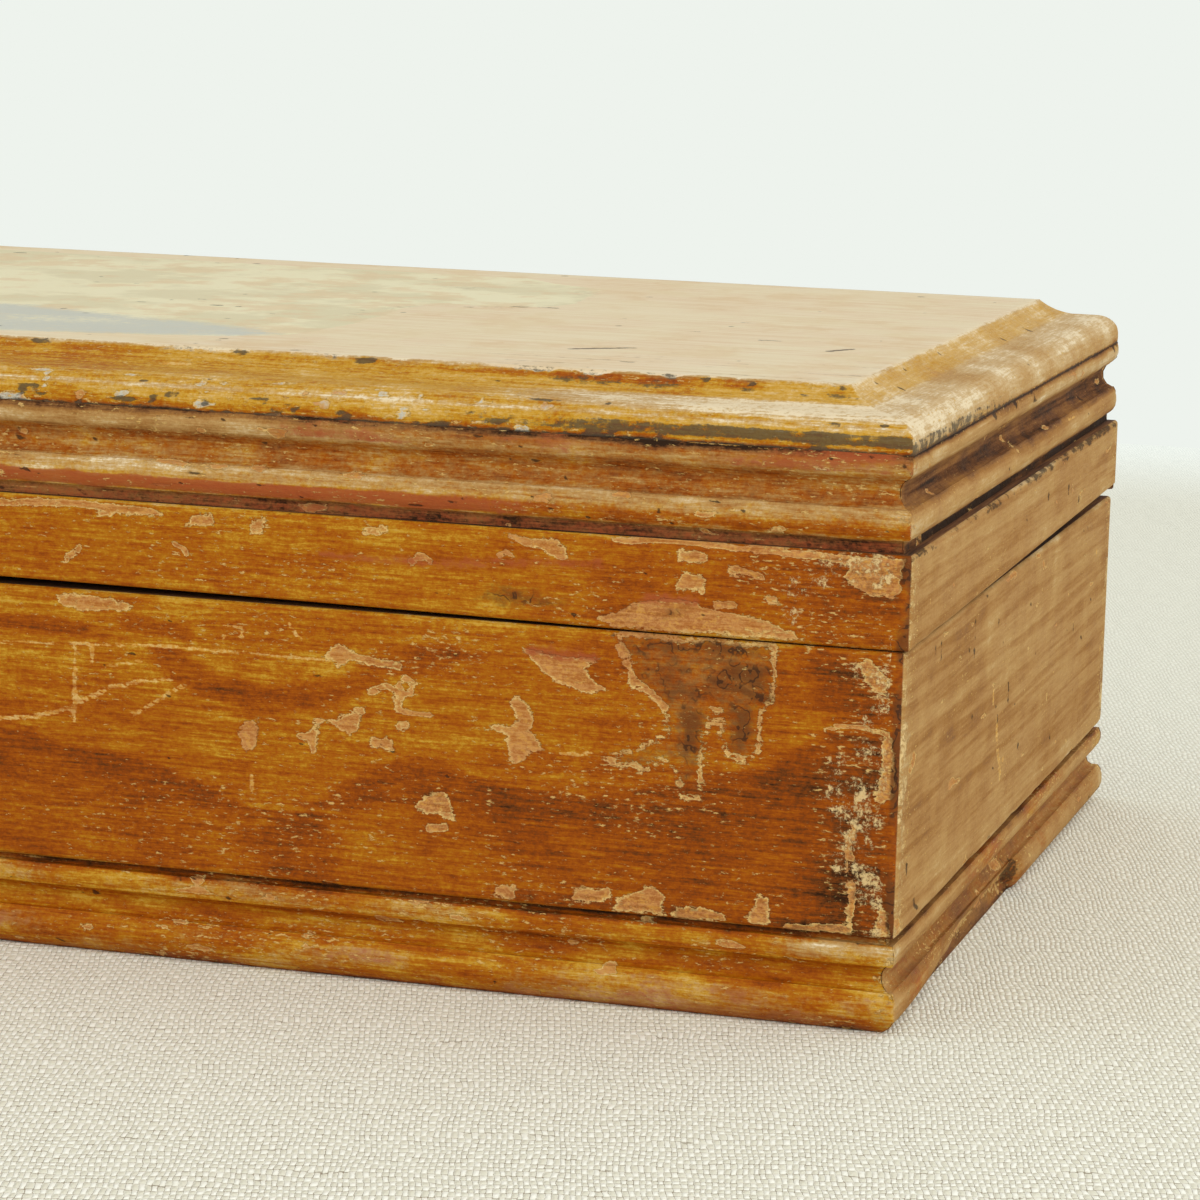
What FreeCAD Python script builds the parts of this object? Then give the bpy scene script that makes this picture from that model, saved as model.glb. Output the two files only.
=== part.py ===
"""Antique candle box: a long, low softwood box with a hinged lid.

The box is a stack of mitred frames. From the table up they are the base moulding, which
holds the bottom board in a rebate, the body boards, the lid's rim boards, the lid's cornice
moulding and the moulded top board. Two small brass butt hinges let into the back edges
join the lid to the body.

Frame: millimetres, +X along the box to the right, +Y to the back, +Z up. The origin is the
centre of the base's underside.
"""

import FreeCAD, Part
import math
import os

import Sketcher

DOC = FreeCAD.newDocument("candle_box")
Vec = FreeCAD.Vector
UP = Vec(0, 0, 1)

# ---------------------------------------------------------------------------------------
# Driving dimensions: alias, value in mm, what it is.
# Insets are measured inward from the outer faces of the body boards. The heights within a
# moulding are measured up from the moulding's own underside.
# ---------------------------------------------------------------------------------------
SIZES = [
    ("box_length", 260.0, "over the front board's outer corners"),
    ("box_depth", 130.0, "over the end boards' outer corners"),
    ("board_thickness", 9.0, "body boards, rim boards and the cornice's width"),
    ("body_height", 31.8, "height of the body boards"),
    ("rim_height", 10.45, "height of the lid's rim boards at the front"),
    ("arris_radius", 0.5, "easing of the boards' long outer edges"),
    ("corner_radius", 1.1, "wear of the upright corners, in plan"),
    ("base_height", 10.9, "height of the base moulding"),
    ("base_width", 12.0, "inset of the base moulding's inner face"),
    ("foot_inset", 1.5, "where the base nose leaves the table"),
    ("base_nose_proud", 0.5, "how far the base nose stands out past the boards"),
    ("base_nose_middle", 2.8, "height of the widest part of the base nose"),
    ("base_nose_top", 4.8, "height of the nose's upper edge"),
    ("base_nose_lip", 0.25, "inset of the nose's upper edge"),
    ("base_nose_upper_round", 0.15, "how far the nose's upper half bulges"),
    ("base_nose_lower_round", 0.45, "how far the nose's lower half bulges"),
    ("base_cove_inset", 0.85, "inset of the cove's lower edge"),
    ("base_cove_top", 7.7, "height of the cove's upper edge"),
    ("base_cove_depth", 0.85, "how deep the cove is hollowed"),
    ("base_bead_lip", 0.3, "inset of the bead's two edges"),
    ("base_bead_round", 0.28, "how far the bead bulges from its edges"),
    ("base_bead_top", 10.1, "height of the bead's upper edge"),
    ("base_groove_inset", 1.3, "depth of the groove under the body boards"),
    ("bottom_thickness", 5.0, "bottom board, and the depth of its rebate"),
    ("rebate_inset", 6.5, "inset of the rebate's upright wall"),
    ("panel_clearance", 0.2, "room around the bottom board for the wood to move"),
    ("cornice_height", 10.8, "height of the cornice moulding"),
    ("cornice_groove_inset", 1.5, "depth of the groove over the rim boards"),
    ("cornice_groove_height", 1.4, "height of that groove"),
    ("cornice_bead_lip", 0.85, "inset of the bead's two edges"),
    ("cornice_bead_round", 0.6, "how far the bead bulges from its edges"),
    ("cornice_bead_top", 4.8, "height of the bead's upper edge"),
    ("cornice_cove_inset", 0.95, "inset of the cove's lower edge"),
    ("cornice_cove_depth", 1.15, "how deep the cove is hollowed"),
    ("cornice_cove_top", 8.1, "height of the cove's upper edge"),
    ("cornice_nose_inset", 1.1, "inset of the nose's lower edge"),
    ("cornice_nose_round", 0.5, "how far the cornice nose bulges"),
    ("nose_inset", 0.6, "inset of the joint between cornice and top board"),
    ("top_thickness", 6.2, "thickness of the lid's top board"),
    ("top_blank_inset", 0.45, "inset of the top board's blank, just clear of its nose"),
    ("top_nose_height", 3.8, "height of the top board's rounded nose"),
    ("top_nose_round", 1.0, "how far that nose bulges"),
    ("top_fillet_start", 3.0, "inset of the flat fillet's outer edge"),
    ("top_cove_start", 4.5, "inset of the fillet's inner edge, where the cove starts"),
    ("top_fillet_rise", 0.15, "how much the fillet rises towards the cove"),
    ("top_cove_depth", 0.6, "how deep the cove is hollowed"),
    ("top_flat_inset", 10.0, "inset of the flat's edge"),
    ("lid_shift", 0.5, "how far the lid stands over to the right"),
    ("seam_front", 0.15, "gap between lid and body along the front"),
    ("seam_back", 1.0, "gap between lid and body along the back"),
    ("hollow_span", 204.0, "length of the hollow in the front rim's lower edge"),
    ("hollow_rise", 0.7, "height of that hollow"),
    ("hinge_inset", 45.0, "from the box's end to the middle of a hinge"),
    ("hinge_set_in", 0.55, "how far the hinge line is inside the back face"),
    ("leaf_length", 24.0, "length of a hinge"),
    ("leaf_width", 6.5, "from the hinge line to the leaf's free edge"),
    ("leaf_thickness", 0.5, "brass sheet of the leaves"),
    ("pin_radius", 0.5, "hinge pin"),
    ("pin_clearance", 0.05, "running fit between pin and knuckle, on the radius"),
    ("knuckle_gap", 0.2, "gap between neighbouring knuckles"),
    ("middle_knuckle", 8.0, "length of the lid leaf's one knuckle"),
    ("knuckle_relief", 0.3, "room in the wood around the knuckles"),
    ("mortise_clearance", 0.1, "room in the wood around a leaf's edges"),
    ("nail_spacing", 14.0, "between a leaf's two nails"),
    ("nail_setback", 4.0, "from the hinge line to the nails"),
    ("nail_radius", 0.6, "shank of a hinge nail"),
    ("nail_length", 7.0, "straight part of the shank, under the head"),
    ("nail_tip", 1.5, "length of the nail's tapered tip"),
    ("nail_point_radius", 0.15, "blunt end of that tip"),
    ("nail_head_radius", 1.2, "head of a hinge nail"),
    ("nail_head_height", 0.35, "thickness of that head"),
    ("nail_fit", 0.03, "room around a nail in the leaf and the wood, on the radius"),
]

# How far the outline of a cut stands clear of the piece that it cuts.
CLEAR = 3.0

SHEET = DOC.addObject("Spreadsheet::Sheet", "sizes")
for row, (alias, size, note) in enumerate(SIZES, start=1):
    SHEET.set(f"A{row}", alias)
    SHEET.set(f"B{row}", str(size))
    SHEET.set(f"C{row}", note)
    SHEET.setAlias(f"B{row}", alias)
DOC.recompute()

ALIASES = {alias for alias, _, _ in SIZES}


def bound(expression):
    """The expression with each size's alias pointing at its cell in the sheet."""
    words = []
    word = ""
    for character in expression + " ":
        if character.isalnum() or character == "_":
            word += character
            continue
        words.append(f"sizes.{word}" if word in ALIASES else word)
        words.append(character)
        word = ""
    return "".join(words).strip()


def value(expression):
    """What an expression of sizes comes to now."""
    result = SHEET.evalExpression(bound(expression))
    return float(getattr(result, "Value", result))


# Heights of the joints between the layers, as expressions of the sizes.
BODY_BOTTOM = "base_height"
BODY_TOP = "(base_height + body_height)"
RIM_BOTTOM = f"({BODY_TOP} + seam_front)"
RIM_TOP = f"({RIM_BOTTOM} + rim_height)"
CORNICE_TOP = f"({RIM_TOP} + cornice_height)"

# The hinge: its knuckles' radii, the hinge line's place and what is cut for it.
KNUCKLE_BORE = "(pin_radius + pin_clearance)"
KNUCKLE_RADIUS = f"({KNUCKLE_BORE} + leaf_thickness)"
HINGE_Y = "(box_depth / 2 - hinge_set_in)"
HINGE_Z = f"({BODY_TOP} + seam_back / 2)"
HINGE_X = "(box_length / 2 - hinge_inset)"
MORTISE_DEPTH = f"({KNUCKLE_RADIUS} - seam_back / 2)"
MORTISE_REACH = "(hinge_set_in + leaf_width + mortise_clearance)"
TROUGH_REACH = f"(hinge_set_in + {KNUCKLE_RADIUS} + knuckle_relief)"
NAIL_REACH = "(nail_length + nail_tip)"

# ---------------------------------------------------------------------------------------
# Helpers: bodies, sketches bound to the sheet, and the features made from them.
# ---------------------------------------------------------------------------------------
PIECES = []


def new_body(name, angle=0.0, x="0", y="0", z="0"):
    """An empty body turned about Z, whose place follows the sheet."""
    body = DOC.addObject("PartDesign::Body", name)
    body.Label = name
    body.Placement = FreeCAD.Placement(Vec(0, 0, 0), FreeCAD.Rotation(UP, angle))
    for axis, place in zip("xyz", (x, y, z), strict=True):
        body.setExpression(f"Placement.Base.{axis}", bound(place))
    PIECES.append(body)
    return body


def new_sketch(body, name, plane, offset="0"):
    """A sketch on one of the body's own origin planes, moved along its normal."""
    sketch = body.newObject("Sketcher::SketchObject", name)
    role = f"{plane}_Plane"
    support = next(f for f in body.Origin.OriginFeatures if f.Role == role)
    sketch.AttachmentSupport = (support, [""])
    sketch.MapMode = "FlatFace"
    sketch.setExpression("AttachmentOffset.Base.z", bound(offset))
    return sketch


def pin_point(sketch, geometry, point, x, y):
    """Hold a point of the geometry at expressions of x and y from the sketch's origin."""
    for kind, place in (("DistanceX", x), ("DistanceY", y)):
        index = sketch.addConstraint(
            Sketcher.Constraint(kind, -1, 1, geometry, point, value(place))
        )
        sketch.setExpression(f"Constraints[{index}]", bound(place))


def arc_middle(start, end, bulge):
    """The point half-way round the arc that bulges to the right of start to end."""
    chord = end - start
    right = Vec(chord.y, -chord.x, 0).normalize()
    return (start + end) * 0.5 + right * bulge


def arc_radius(start, end, bulge):
    """The radius of that arc, as an expression."""
    chord = f"(({end[0]} - {start[0]})^2 + ({end[1]} - {start[1]})^2)"
    return f"({chord} / 4 + ({bulge})^2) / (2 * abs({bulge}))"


def outline(sketch, corners):
    """A closed outline. A corner is (x, y) or, where an arc leaves it, (x, y, bulge).

    Round an outline drawn anticlockwise, a bulge above zero swells it and one below zero
    hollows it.
    """
    first = sketch.GeometryCount
    points = [Vec(value(c[0]), value(c[1]), 0) for c in corners]
    for i, corner in enumerate(corners):
        start, end = points[i], points[(i + 1) % len(corners)]
        if len(corner) == 2:
            sketch.addGeometry(Part.LineSegment(start, end))
        else:
            middle = arc_middle(start, end, value(corner[2]))
            sketch.addGeometry(Part.Arc(start, middle, end))
    # Where each edge of the outline starts and ends: an arc always runs anticlockwise.
    ends = []
    for i, corner in enumerate(corners):
        runs_back = len(corner) == 3 and value(corner[2]) < 0
        ends.append((2, 1) if runs_back else (1, 2))
    for i, corner in enumerate(corners):
        following = (i + 1) % len(corners)
        joint = (first + i, ends[i][1], first + following, ends[following][0])
        sketch.addConstraint(Sketcher.Constraint("Coincident", *joint))
        pin_point(sketch, first + i, ends[i][0], corner[0], corner[1])
        if len(corner) == 3:
            radius = arc_radius(corner, corners[following], corner[2])
            index = sketch.addConstraint(
                Sketcher.Constraint("Radius", first + i, value(radius))
            )
            sketch.setExpression(f"Constraints[{index}]", bound(radius))


def circle(sketch, x, y, radius):
    """A circle bound to the sheet."""
    shape = Part.Circle(Vec(value(x), value(y), 0), UP, value(radius))
    index = sketch.addGeometry(shape)
    pin_point(sketch, index, 3, x, y)
    datum = sketch.addConstraint(Sketcher.Constraint("Radius", index, value(radius)))
    sketch.setExpression(f"Constraints[{datum}]", bound(radius))


def rectangle(sketch, low, high):
    """A rectangle between two corners, each an (x, y) of expressions."""
    outline(sketch, [low, (high[0], low[1]), high, (low[0], high[1])])


def solid_volume(body):
    """The volume of the body so far, none if it has no shape."""
    DOC.recompute()
    return body.Shape.Volume if not body.Shape.isNull() else 0.0


def pad(body, sketch, length, symmetric=False, reverse=False):
    """Add the sketch's area, swept along its normal."""
    before = solid_volume(body)
    feature = body.newObject("PartDesign::Pad", f"{sketch.Name}_pad")
    feature.Profile = sketch
    feature.SideType = "Symmetric" if symmetric else "One side"
    feature.Reversed = reverse
    feature.setExpression("Length", bound(length))
    if solid_volume(body) <= before:
        raise RuntimeError(f"{body.Label}: {feature.Label} adds nothing")
    return feature


def cut(body, sketch, length=None, reverse=False):
    """Cut the sketch's area away: right through both ways, or to a length."""
    before = solid_volume(body)
    feature = body.newObject("PartDesign::Pocket", f"{sketch.Name}_cut")
    feature.Profile = sketch
    if length is None:
        feature.Type = "ThroughAll"
        feature.SideType = "Symmetric"
    else:
        feature.Type = "Length"
        feature.Reversed = reverse
        feature.setExpression("Length", bound(length))
    if solid_volume(body) >= before:
        raise RuntimeError(f"{body.Label}: {feature.Label} cuts nothing")
    return feature


# ---------------------------------------------------------------------------------------
# Mitred frames. In a piece's own frame +X runs along it, +Y inward from the body's outer
# face and +Z up, so that its section is drawn in inset and height. The sides are listed
# in order round the box, each a quarter turn on from the last, with its half length and
# the middle of its outer face.
# ---------------------------------------------------------------------------------------
SIDES = {
    "front": ("box_length / 2", "0", "-box_depth / 2"),
    "right": ("box_depth / 2", "box_length / 2", "0"),
    "back": ("box_length / 2", "0", "box_depth / 2"),
    "left": ("box_depth / 2", "-box_length / 2", "0"),
}


def mitre_end(half, outer, inner, way):
    """What is cut off one end: the 45 degree mitre and the worn upright corner."""
    centre = f"({outer} + corner_radius)"
    reach = "corner_radius * (1 - sqrt(2) / 2)"
    bulge = "corner_radius * (1 - cos(22.5 deg))"
    deep = f"({inner} + {CLEAR})"
    shallow = f"({outer} - {CLEAR})"
    corners = [
        (f"({half} - {deep})", deep),
        (f"({half} - {outer} - {reach})", f"({outer} + {reach})", f"-({way}) * {bulge}"),
        (f"({half} - {centre})", outer),
        (f"({half} - {centre})", shallow),
        (f"({half} - {outer} + {CLEAR})", shallow),
        (f"({half} - {outer} + {CLEAR})", deep),
    ]
    return [(f"({way}) * {c[0]}", *c[1:]) for c in corners]


def frame_side(name, side, level, section, outer, inner, shift="0"):
    """One side of a mitred frame: its section swept along it, then both ends mitred."""
    half, x, y = SIDES[side]
    angle = 360.0 * list(SIDES).index(side) / len(SIDES)
    body = new_body(name, angle, f"({x} + {shift})", y, level)
    profile = new_sketch(body, f"{name}_section", "YZ")
    outline(profile, section)
    pad(body, profile, f"2 * ({half} - ({outer}))", symmetric=True)
    plan = new_sketch(body, f"{name}_mitres", "XY")
    for way in ("1", "-1"):
        outline(plan, mitre_end(half, outer, inner, way))
    cut(body, plan)
    return body


def board_section(bottom, top):
    """A plain board with both long outer edges eased."""
    bulge = "arris_radius * (1 - sqrt(2) / 2)"
    return [
        ("board_thickness", bottom),
        ("board_thickness", top),
        ("arris_radius", top, bulge),
        ("0", f"({top} - arris_radius)"),
        ("0", f"({bottom} + arris_radius)", bulge),
        ("arris_radius", bottom),
    ]


BASE_SECTION = [
    ("base_width", "0"),
    ("base_width", "(base_height - bottom_thickness)"),
    ("rebate_inset", "(base_height - bottom_thickness)"),
    ("rebate_inset", "base_height"),
    ("base_groove_inset", "base_height"),
    ("base_groove_inset", "base_bead_top"),
    ("base_bead_lip", "base_bead_top", "base_bead_round"),
    ("base_bead_lip", "base_cove_top"),
    ("base_cove_inset", "base_cove_top", "-base_cove_depth"),
    ("base_cove_inset", "base_nose_top"),
    ("base_nose_lip", "base_nose_top", "base_nose_upper_round"),
    ("-base_nose_proud", "base_nose_middle", "base_nose_lower_round"),
    ("foot_inset", "0"),
]

CORNICE_SECTION = [
    ("board_thickness", "0"),
    ("board_thickness", "cornice_height"),
    ("nose_inset", "cornice_height", "cornice_nose_round"),
    ("cornice_nose_inset", "cornice_cove_top", "-cornice_cove_depth"),
    ("cornice_cove_inset", "cornice_bead_top"),
    ("cornice_bead_lip", "cornice_bead_top", "cornice_bead_round"),
    ("cornice_bead_lip", "cornice_groove_height"),
    ("cornice_groove_inset", "cornice_groove_height"),
    ("cornice_groove_inset", "0"),
]

for side in SIDES:
    frame_side(
        f"base_moulding_{side}", side, "0", BASE_SECTION, "-base_nose_proud", "base_width"
    )

body_boards = {}
for side in SIDES:
    kind = "board" if side in ("front", "back") else "end"
    body_boards[side] = frame_side(
        f"body_{side}_{kind}",
        side,
        BODY_BOTTOM,
        board_section("0", "body_height"),
        "0",
        "board_thickness",
    )

rim_boards = {}
for side in SIDES:
    lower_edge = "(seam_back - seam_front)" if side == "back" else "0"
    rim_boards[side] = frame_side(
        f"lid_rim_{side}",
        side,
        RIM_BOTTOM,
        board_section(lower_edge, "rim_height"),
        "0",
        "board_thickness",
        "lid_shift",
    )

for side in SIDES:
    frame_side(
        f"lid_cornice_{side}",
        side,
        RIM_TOP,
        CORNICE_SECTION,
        "(cornice_bead_lip - cornice_bead_round)",
        "board_thickness",
        "lid_shift",
    )


# ---------------------------------------------------------------------------------------
# The lid's lower edge. The front rim board has shrunk a little hollow, and the end rim
# boards are planed to a taper, so that the seam opens towards the hinges.
# ---------------------------------------------------------------------------------------
def hollow_front_edge(body):
    """The long shallow hollow under the front rim board."""
    sketch = new_sketch(body, f"{body.Name}_hollow", "XZ")
    outline(
        sketch,
        [
            ("hollow_span / 2", "0", "hollow_rise"),
            ("-hollow_span / 2", "0"),
            ("-hollow_span / 2", f"-{CLEAR}"),
            ("hollow_span / 2", f"-{CLEAR}"),
        ],
    )
    cut(body, sketch)


def taper_end_edge(body, way):
    """The wedge planed off under an end rim board; way is +1 if +X runs to the back."""
    sketch = new_sketch(body, f"{body.Name}_taper", "XZ")
    corners = [
        ("box_depth / 2", "(seam_back - seam_front)"),
        ("-box_depth / 2", "0"),
        ("-box_depth / 2", f"-{CLEAR}"),
        ("box_depth / 2", f"-{CLEAR}"),
    ]
    outline(sketch, [(f"({way}) * {c[0]}", *c[1:]) for c in corners])
    cut(body, sketch)


hollow_front_edge(rim_boards["front"])
taper_end_edge(rim_boards["right"], "1")
taper_end_edge(rim_boards["left"], "-1")


# ---------------------------------------------------------------------------------------
# Boards: the bottom board lies in the base moulding's rebate, and the top board closes the
# lid, with a cove, a fillet and a rounded nose along all four edges.
# ---------------------------------------------------------------------------------------
def make_bottom_board():
    """The plain board in the rebate."""
    name = "bottom_board"
    body = new_body(name, z="base_height - bottom_thickness")
    sketch = new_sketch(body, f"{name}_plan", "XY")
    edge = "(rebate_inset + panel_clearance)"
    half_x = f"(box_length / 2 - {edge})"
    half_y = f"(box_depth / 2 - {edge})"
    rectangle(sketch, (f"-{half_x}", f"-{half_y}"), (half_x, half_y))
    pad(body, sketch, "bottom_thickness")


def waste_section(half, way):
    """What the moulding plane takes off one edge of the top board."""
    corners = [
        (f"({half} - top_flat_inset)", f"(top_thickness + {CLEAR})"),
        (f"({half} - top_flat_inset)", "top_thickness", f"({way}) * top_cove_depth"),
        (f"({half} - top_cove_start)", "(top_nose_height + top_fillet_rise)"),
        (f"({half} - top_fillet_start)", "top_nose_height", f"-({way}) * top_nose_round"),
        (f"({half} - nose_inset)", "0"),
        (f"({half} + {CLEAR})", "0"),
        (f"({half} + {CLEAR})", f"(top_thickness + {CLEAR})"),
    ]
    return [(f"({way}) * {c[0]}", *c[1:]) for c in corners]


def make_top_board():
    """The lid's top, moulded along its four edges."""
    name = "lid_top_board"
    body = new_body(name, x="lid_shift", z=CORNICE_TOP)
    blank = new_sketch(body, f"{name}_plan", "XY")
    half_x = "(box_length / 2 - top_blank_inset)"
    half_y = "(box_depth / 2 - top_blank_inset)"
    corner = "corner_radius"
    bulge = "corner_radius * (1 - sqrt(2) / 2)"
    outline(
        blank,
        [
            (f"({half_x} - {corner})", f"-{half_y}", bulge),
            (half_x, f"-({half_y} - {corner})"),
            (half_x, f"({half_y} - {corner})", bulge),
            (f"({half_x} - {corner})", half_y),
            (f"-({half_x} - {corner})", half_y, bulge),
            (f"-{half_x}", f"({half_y} - {corner})"),
            (f"-{half_x}", f"-({half_y} - {corner})", bulge),
            (f"-({half_x} - {corner})", f"-{half_y}"),
        ],
    )
    pad(body, blank, "top_thickness")
    for edges, plane, half in (
        ("long", "YZ", "box_depth / 2"),
        ("end", "XZ", "box_length / 2"),
    ):
        sketch = new_sketch(body, f"{name}_{edges}_edges", plane)
        for way in ("1", "-1"):
            outline(sketch, waste_section(half, way))
        cut(body, sketch)


make_bottom_board()
make_top_board()


# ---------------------------------------------------------------------------------------
# Hinges. A leaf's own frame has its origin on the hinge line, +X along it and +Y to the
# back. The body's leaf lies below the line and the lid's leaf above it.
# ---------------------------------------------------------------------------------------
HINGES = {"left": "-", "right": ""}
NAILS = [
    (f"{hinge}{HINGE_X} {offset} nail_spacing / 2", f"({HINGE_Y} - nail_setback)")
    for hinge in HINGES.values()
    for offset in ("-", "+")
]


def make_leaf(name, hinge_x, is_body_leaf):
    """A sheet brass leaf, rolled round the pin: two knuckles on the body, one on the lid."""
    body = new_body(name, x=hinge_x, y=HINGE_Y, z=HINGE_Z)
    foot = f"-{KNUCKLE_RADIUS}" if is_body_leaf else KNUCKLE_BORE
    plate = new_sketch(body, f"{name}_plate", "YZ")
    rectangle(plate, ("-leaf_width", foot), ("0", f"({foot} + leaf_thickness)"))
    pad(body, plate, "leaf_length", symmetric=True)
    roll = new_sketch(body, f"{name}_roll", "YZ")
    circle(roll, "0", "0", KNUCKLE_RADIUS)
    pad(body, roll, "leaf_length", symmetric=True)
    bore = new_sketch(body, f"{name}_bore", "YZ")
    circle(bore, "0", "0", KNUCKLE_BORE)
    cut(body, bore)

    # The room for the other leaf's knuckles, right through from above.
    gaps = new_sketch(body, f"{name}_gaps", "XY")
    front = f"-({KNUCKLE_RADIUS} + knuckle_gap)"
    behind = f"({KNUCKLE_RADIUS} + {CLEAR})"
    if is_body_leaf:
        side = "(middle_knuckle / 2 + knuckle_gap)"
        rectangle(gaps, (f"-{side}", front), (side, behind))
    else:
        inner = "middle_knuckle / 2"
        outer = f"(leaf_length / 2 + {CLEAR})"
        rectangle(gaps, (inner, front), (outer, behind))
        rectangle(gaps, (f"-{outer}", front), (f"-{inner}", behind))
    cut(body, gaps)

    holes = new_sketch(body, f"{name}_nail_holes", "XY")
    for way in ("-", ""):
        circle(holes, f"{way}nail_spacing / 2", "-nail_setback", "(nail_radius + nail_fit)")
    cut(body, holes)


def make_pin(name, hinge_x):
    """The wire pin that both leaves are rolled round."""
    body = new_body(name, x=hinge_x, y=HINGE_Y, z=HINGE_Z)
    sketch = new_sketch(body, f"{name}_section", "YZ")
    circle(sketch, "0", "0", "pin_radius")
    pad(body, sketch, "leaf_length", symmetric=True)


def let_in_hinges(board, edge, into_top, shift):
    """Cut the hinges' shallow mortises, knuckle troughs and nail holes in a back board.

    shift is how far the hinges stand along the board from where its own middle puts them.
    """
    half_leaf = "(leaf_length / 2 + mortise_clearance)"
    cuts = (
        ("mortises", MORTISE_REACH, MORTISE_DEPTH),
        ("troughs", TROUGH_REACH, f"({MORTISE_DEPTH} + knuckle_relief)"),
    )
    for kind, reach, depth in cuts:
        sketch = new_sketch(board, f"{board.Name}_{kind}", "XY", edge)
        for hinge in HINGES.values():
            low = (f"({hinge}{HINGE_X} + {shift} - {half_leaf})", f"-{CLEAR}")
            high = (f"({hinge}{HINGE_X} + {shift} + {half_leaf})", reach)
            rectangle(sketch, low, high)
        cut(board, sketch, depth, reverse=not into_top)
    holes = new_sketch(board, f"{board.Name}_nail_holes", "XY", edge)
    for nail_x, _ in NAILS:
        circle(holes, f"({nail_x} + {shift})", "(hinge_set_in + nail_setback)", "(nail_radius + nail_fit)")
    depth = f"({MORTISE_DEPTH} - leaf_thickness + {NAIL_REACH} + nail_fit)"
    cut(board, holes, depth, reverse=not into_top)


def nail_solid(kind, name, x, y, low, high, radii):
    """A cylinder or cone standing between two levels at a nail's place."""
    solid = DOC.addObject(f"Part::{kind}", name)
    for axis, place in zip("xyz", (x, y, low), strict=True):
        solid.setExpression(f"Placement.Base.{axis}", bound(place))
    solid.setExpression("Height", bound(f"{high} - ({low})"))
    for size_name, radius in radii.items():
        solid.setExpression(size_name, bound(radius))
    return solid


def make_nails(name, face, points_down):
    """Four round-headed nails; face is the level of the leaves that their heads lie on."""
    solids = []
    for number, (x, y) in enumerate(NAILS, start=1):
        if points_down:
            head = (face, f"({face} + nail_head_height)")
            shank = (f"({face} - nail_length)", face)
            tip = (f"({face} - {NAIL_REACH})", shank[0])
            ends = ("Radius1", "Radius2")
        else:
            head = (f"({face} - nail_head_height)", face)
            shank = (face, f"({face} + nail_length)")
            tip = (shank[1], f"({face} + {NAIL_REACH})")
            ends = ("Radius2", "Radius1")
        cone = {ends[0]: "nail_point_radius", ends[1]: "nail_radius"}
        kinds = (
            ("Cylinder", "head", head, {"Radius": "nail_head_radius"}),
            ("Cylinder", "shank", shank, {"Radius": "nail_radius"}),
            ("Cone", "tip", tip, cone),
        )
        for kind, part, (low, high), radii in kinds:
            solids.append(nail_solid(kind, f"{name}_{number}_{part}", x, y, low, high, radii))
    group = DOC.addObject("Part::MultiFuse", name)
    group.Label = name
    group.Shapes = solids
    PIECES.append(group)


for side, sign in HINGES.items():
    make_leaf(f"hinge_{side}_body_leaf", f"{sign}{HINGE_X}", True)
    make_leaf(f"hinge_{side}_lid_leaf", f"{sign}{HINGE_X}", False)
    make_pin(f"hinge_{side}_pin", f"{sign}{HINGE_X}")
let_in_hinges(body_boards["back"], "body_height", True, "0")
let_in_hinges(rim_boards["back"], "(seam_back - seam_front)", False, "lid_shift")
make_nails("hinge_body_nails", f"({HINGE_Z} - {KNUCKLE_BORE})", True)
make_nails("hinge_lid_nails", f"({HINGE_Z} + {KNUCKLE_BORE})", False)

# ---------------------------------------------------------------------------------------
# Check everything, then write one STEP file for each piece.
# ---------------------------------------------------------------------------------------
DOC.recompute()
for thing in DOC.Objects:
    if "Invalid" in thing.State or "Error" in thing.State:
        raise RuntimeError(f"{thing.Label} failed: {thing.State}")
for piece in PIECES:
    if piece.Shape.isNull() or not piece.Shape.isValid():
        raise RuntimeError(f"{piece.Label} has no valid shape")

os.makedirs("parts", exist_ok=True)
for piece in PIECES:
    piece.Shape.exportStep(f"parts/{piece.Label}.step")
    box = piece.Shape.BoundBox
    print(
        f"{piece.Label}: {len(piece.Shape.Solids)} solid, "
        f"X {box.XMin:.2f} {box.XMax:.2f}, Y {box.YMin:.2f} {box.YMax:.2f}, "
        f"Z {box.ZMin:.2f} {box.ZMax:.2f}"
    )
print(f"{len(PIECES)} pieces")
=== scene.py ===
"""Looks of the antique candle box: worn amber varnish over softwood, on a pale cloth.

Lengths are in millimetres until a mesh is made; meshes are in metres. The wooden frame
pieces and the top board are rebuilt with their real sections and the wear of use. The
bottom board and the hinges keep their CAD meshes and get materials.
"""
import math
from functools import reduce

import bmesh
import bpy
import numpy as np
from mathutils import Matrix, Vector


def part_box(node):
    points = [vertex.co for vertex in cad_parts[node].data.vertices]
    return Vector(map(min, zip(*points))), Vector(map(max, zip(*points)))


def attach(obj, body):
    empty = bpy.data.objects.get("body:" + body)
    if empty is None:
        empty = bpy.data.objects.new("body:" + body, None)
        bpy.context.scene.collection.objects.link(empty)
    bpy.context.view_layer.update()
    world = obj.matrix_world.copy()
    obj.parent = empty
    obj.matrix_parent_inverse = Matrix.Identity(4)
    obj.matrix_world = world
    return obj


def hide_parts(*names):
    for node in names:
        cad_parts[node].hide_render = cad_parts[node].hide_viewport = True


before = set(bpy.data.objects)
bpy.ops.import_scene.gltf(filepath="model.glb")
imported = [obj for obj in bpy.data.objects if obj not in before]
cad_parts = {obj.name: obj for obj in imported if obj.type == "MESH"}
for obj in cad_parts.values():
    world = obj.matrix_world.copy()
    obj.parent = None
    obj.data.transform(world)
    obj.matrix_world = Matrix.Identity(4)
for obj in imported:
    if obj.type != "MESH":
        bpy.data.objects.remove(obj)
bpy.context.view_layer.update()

MM = 0.001
X, Y, Z = 0, 1, 2


def lowest(node):
    """A node's lowest corner in millimetres."""
    return np.array(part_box(node)[0]) / MM


def highest(node):
    """A node's highest corner in millimetres."""
    return np.array(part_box(node)[1]) / MM


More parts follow.
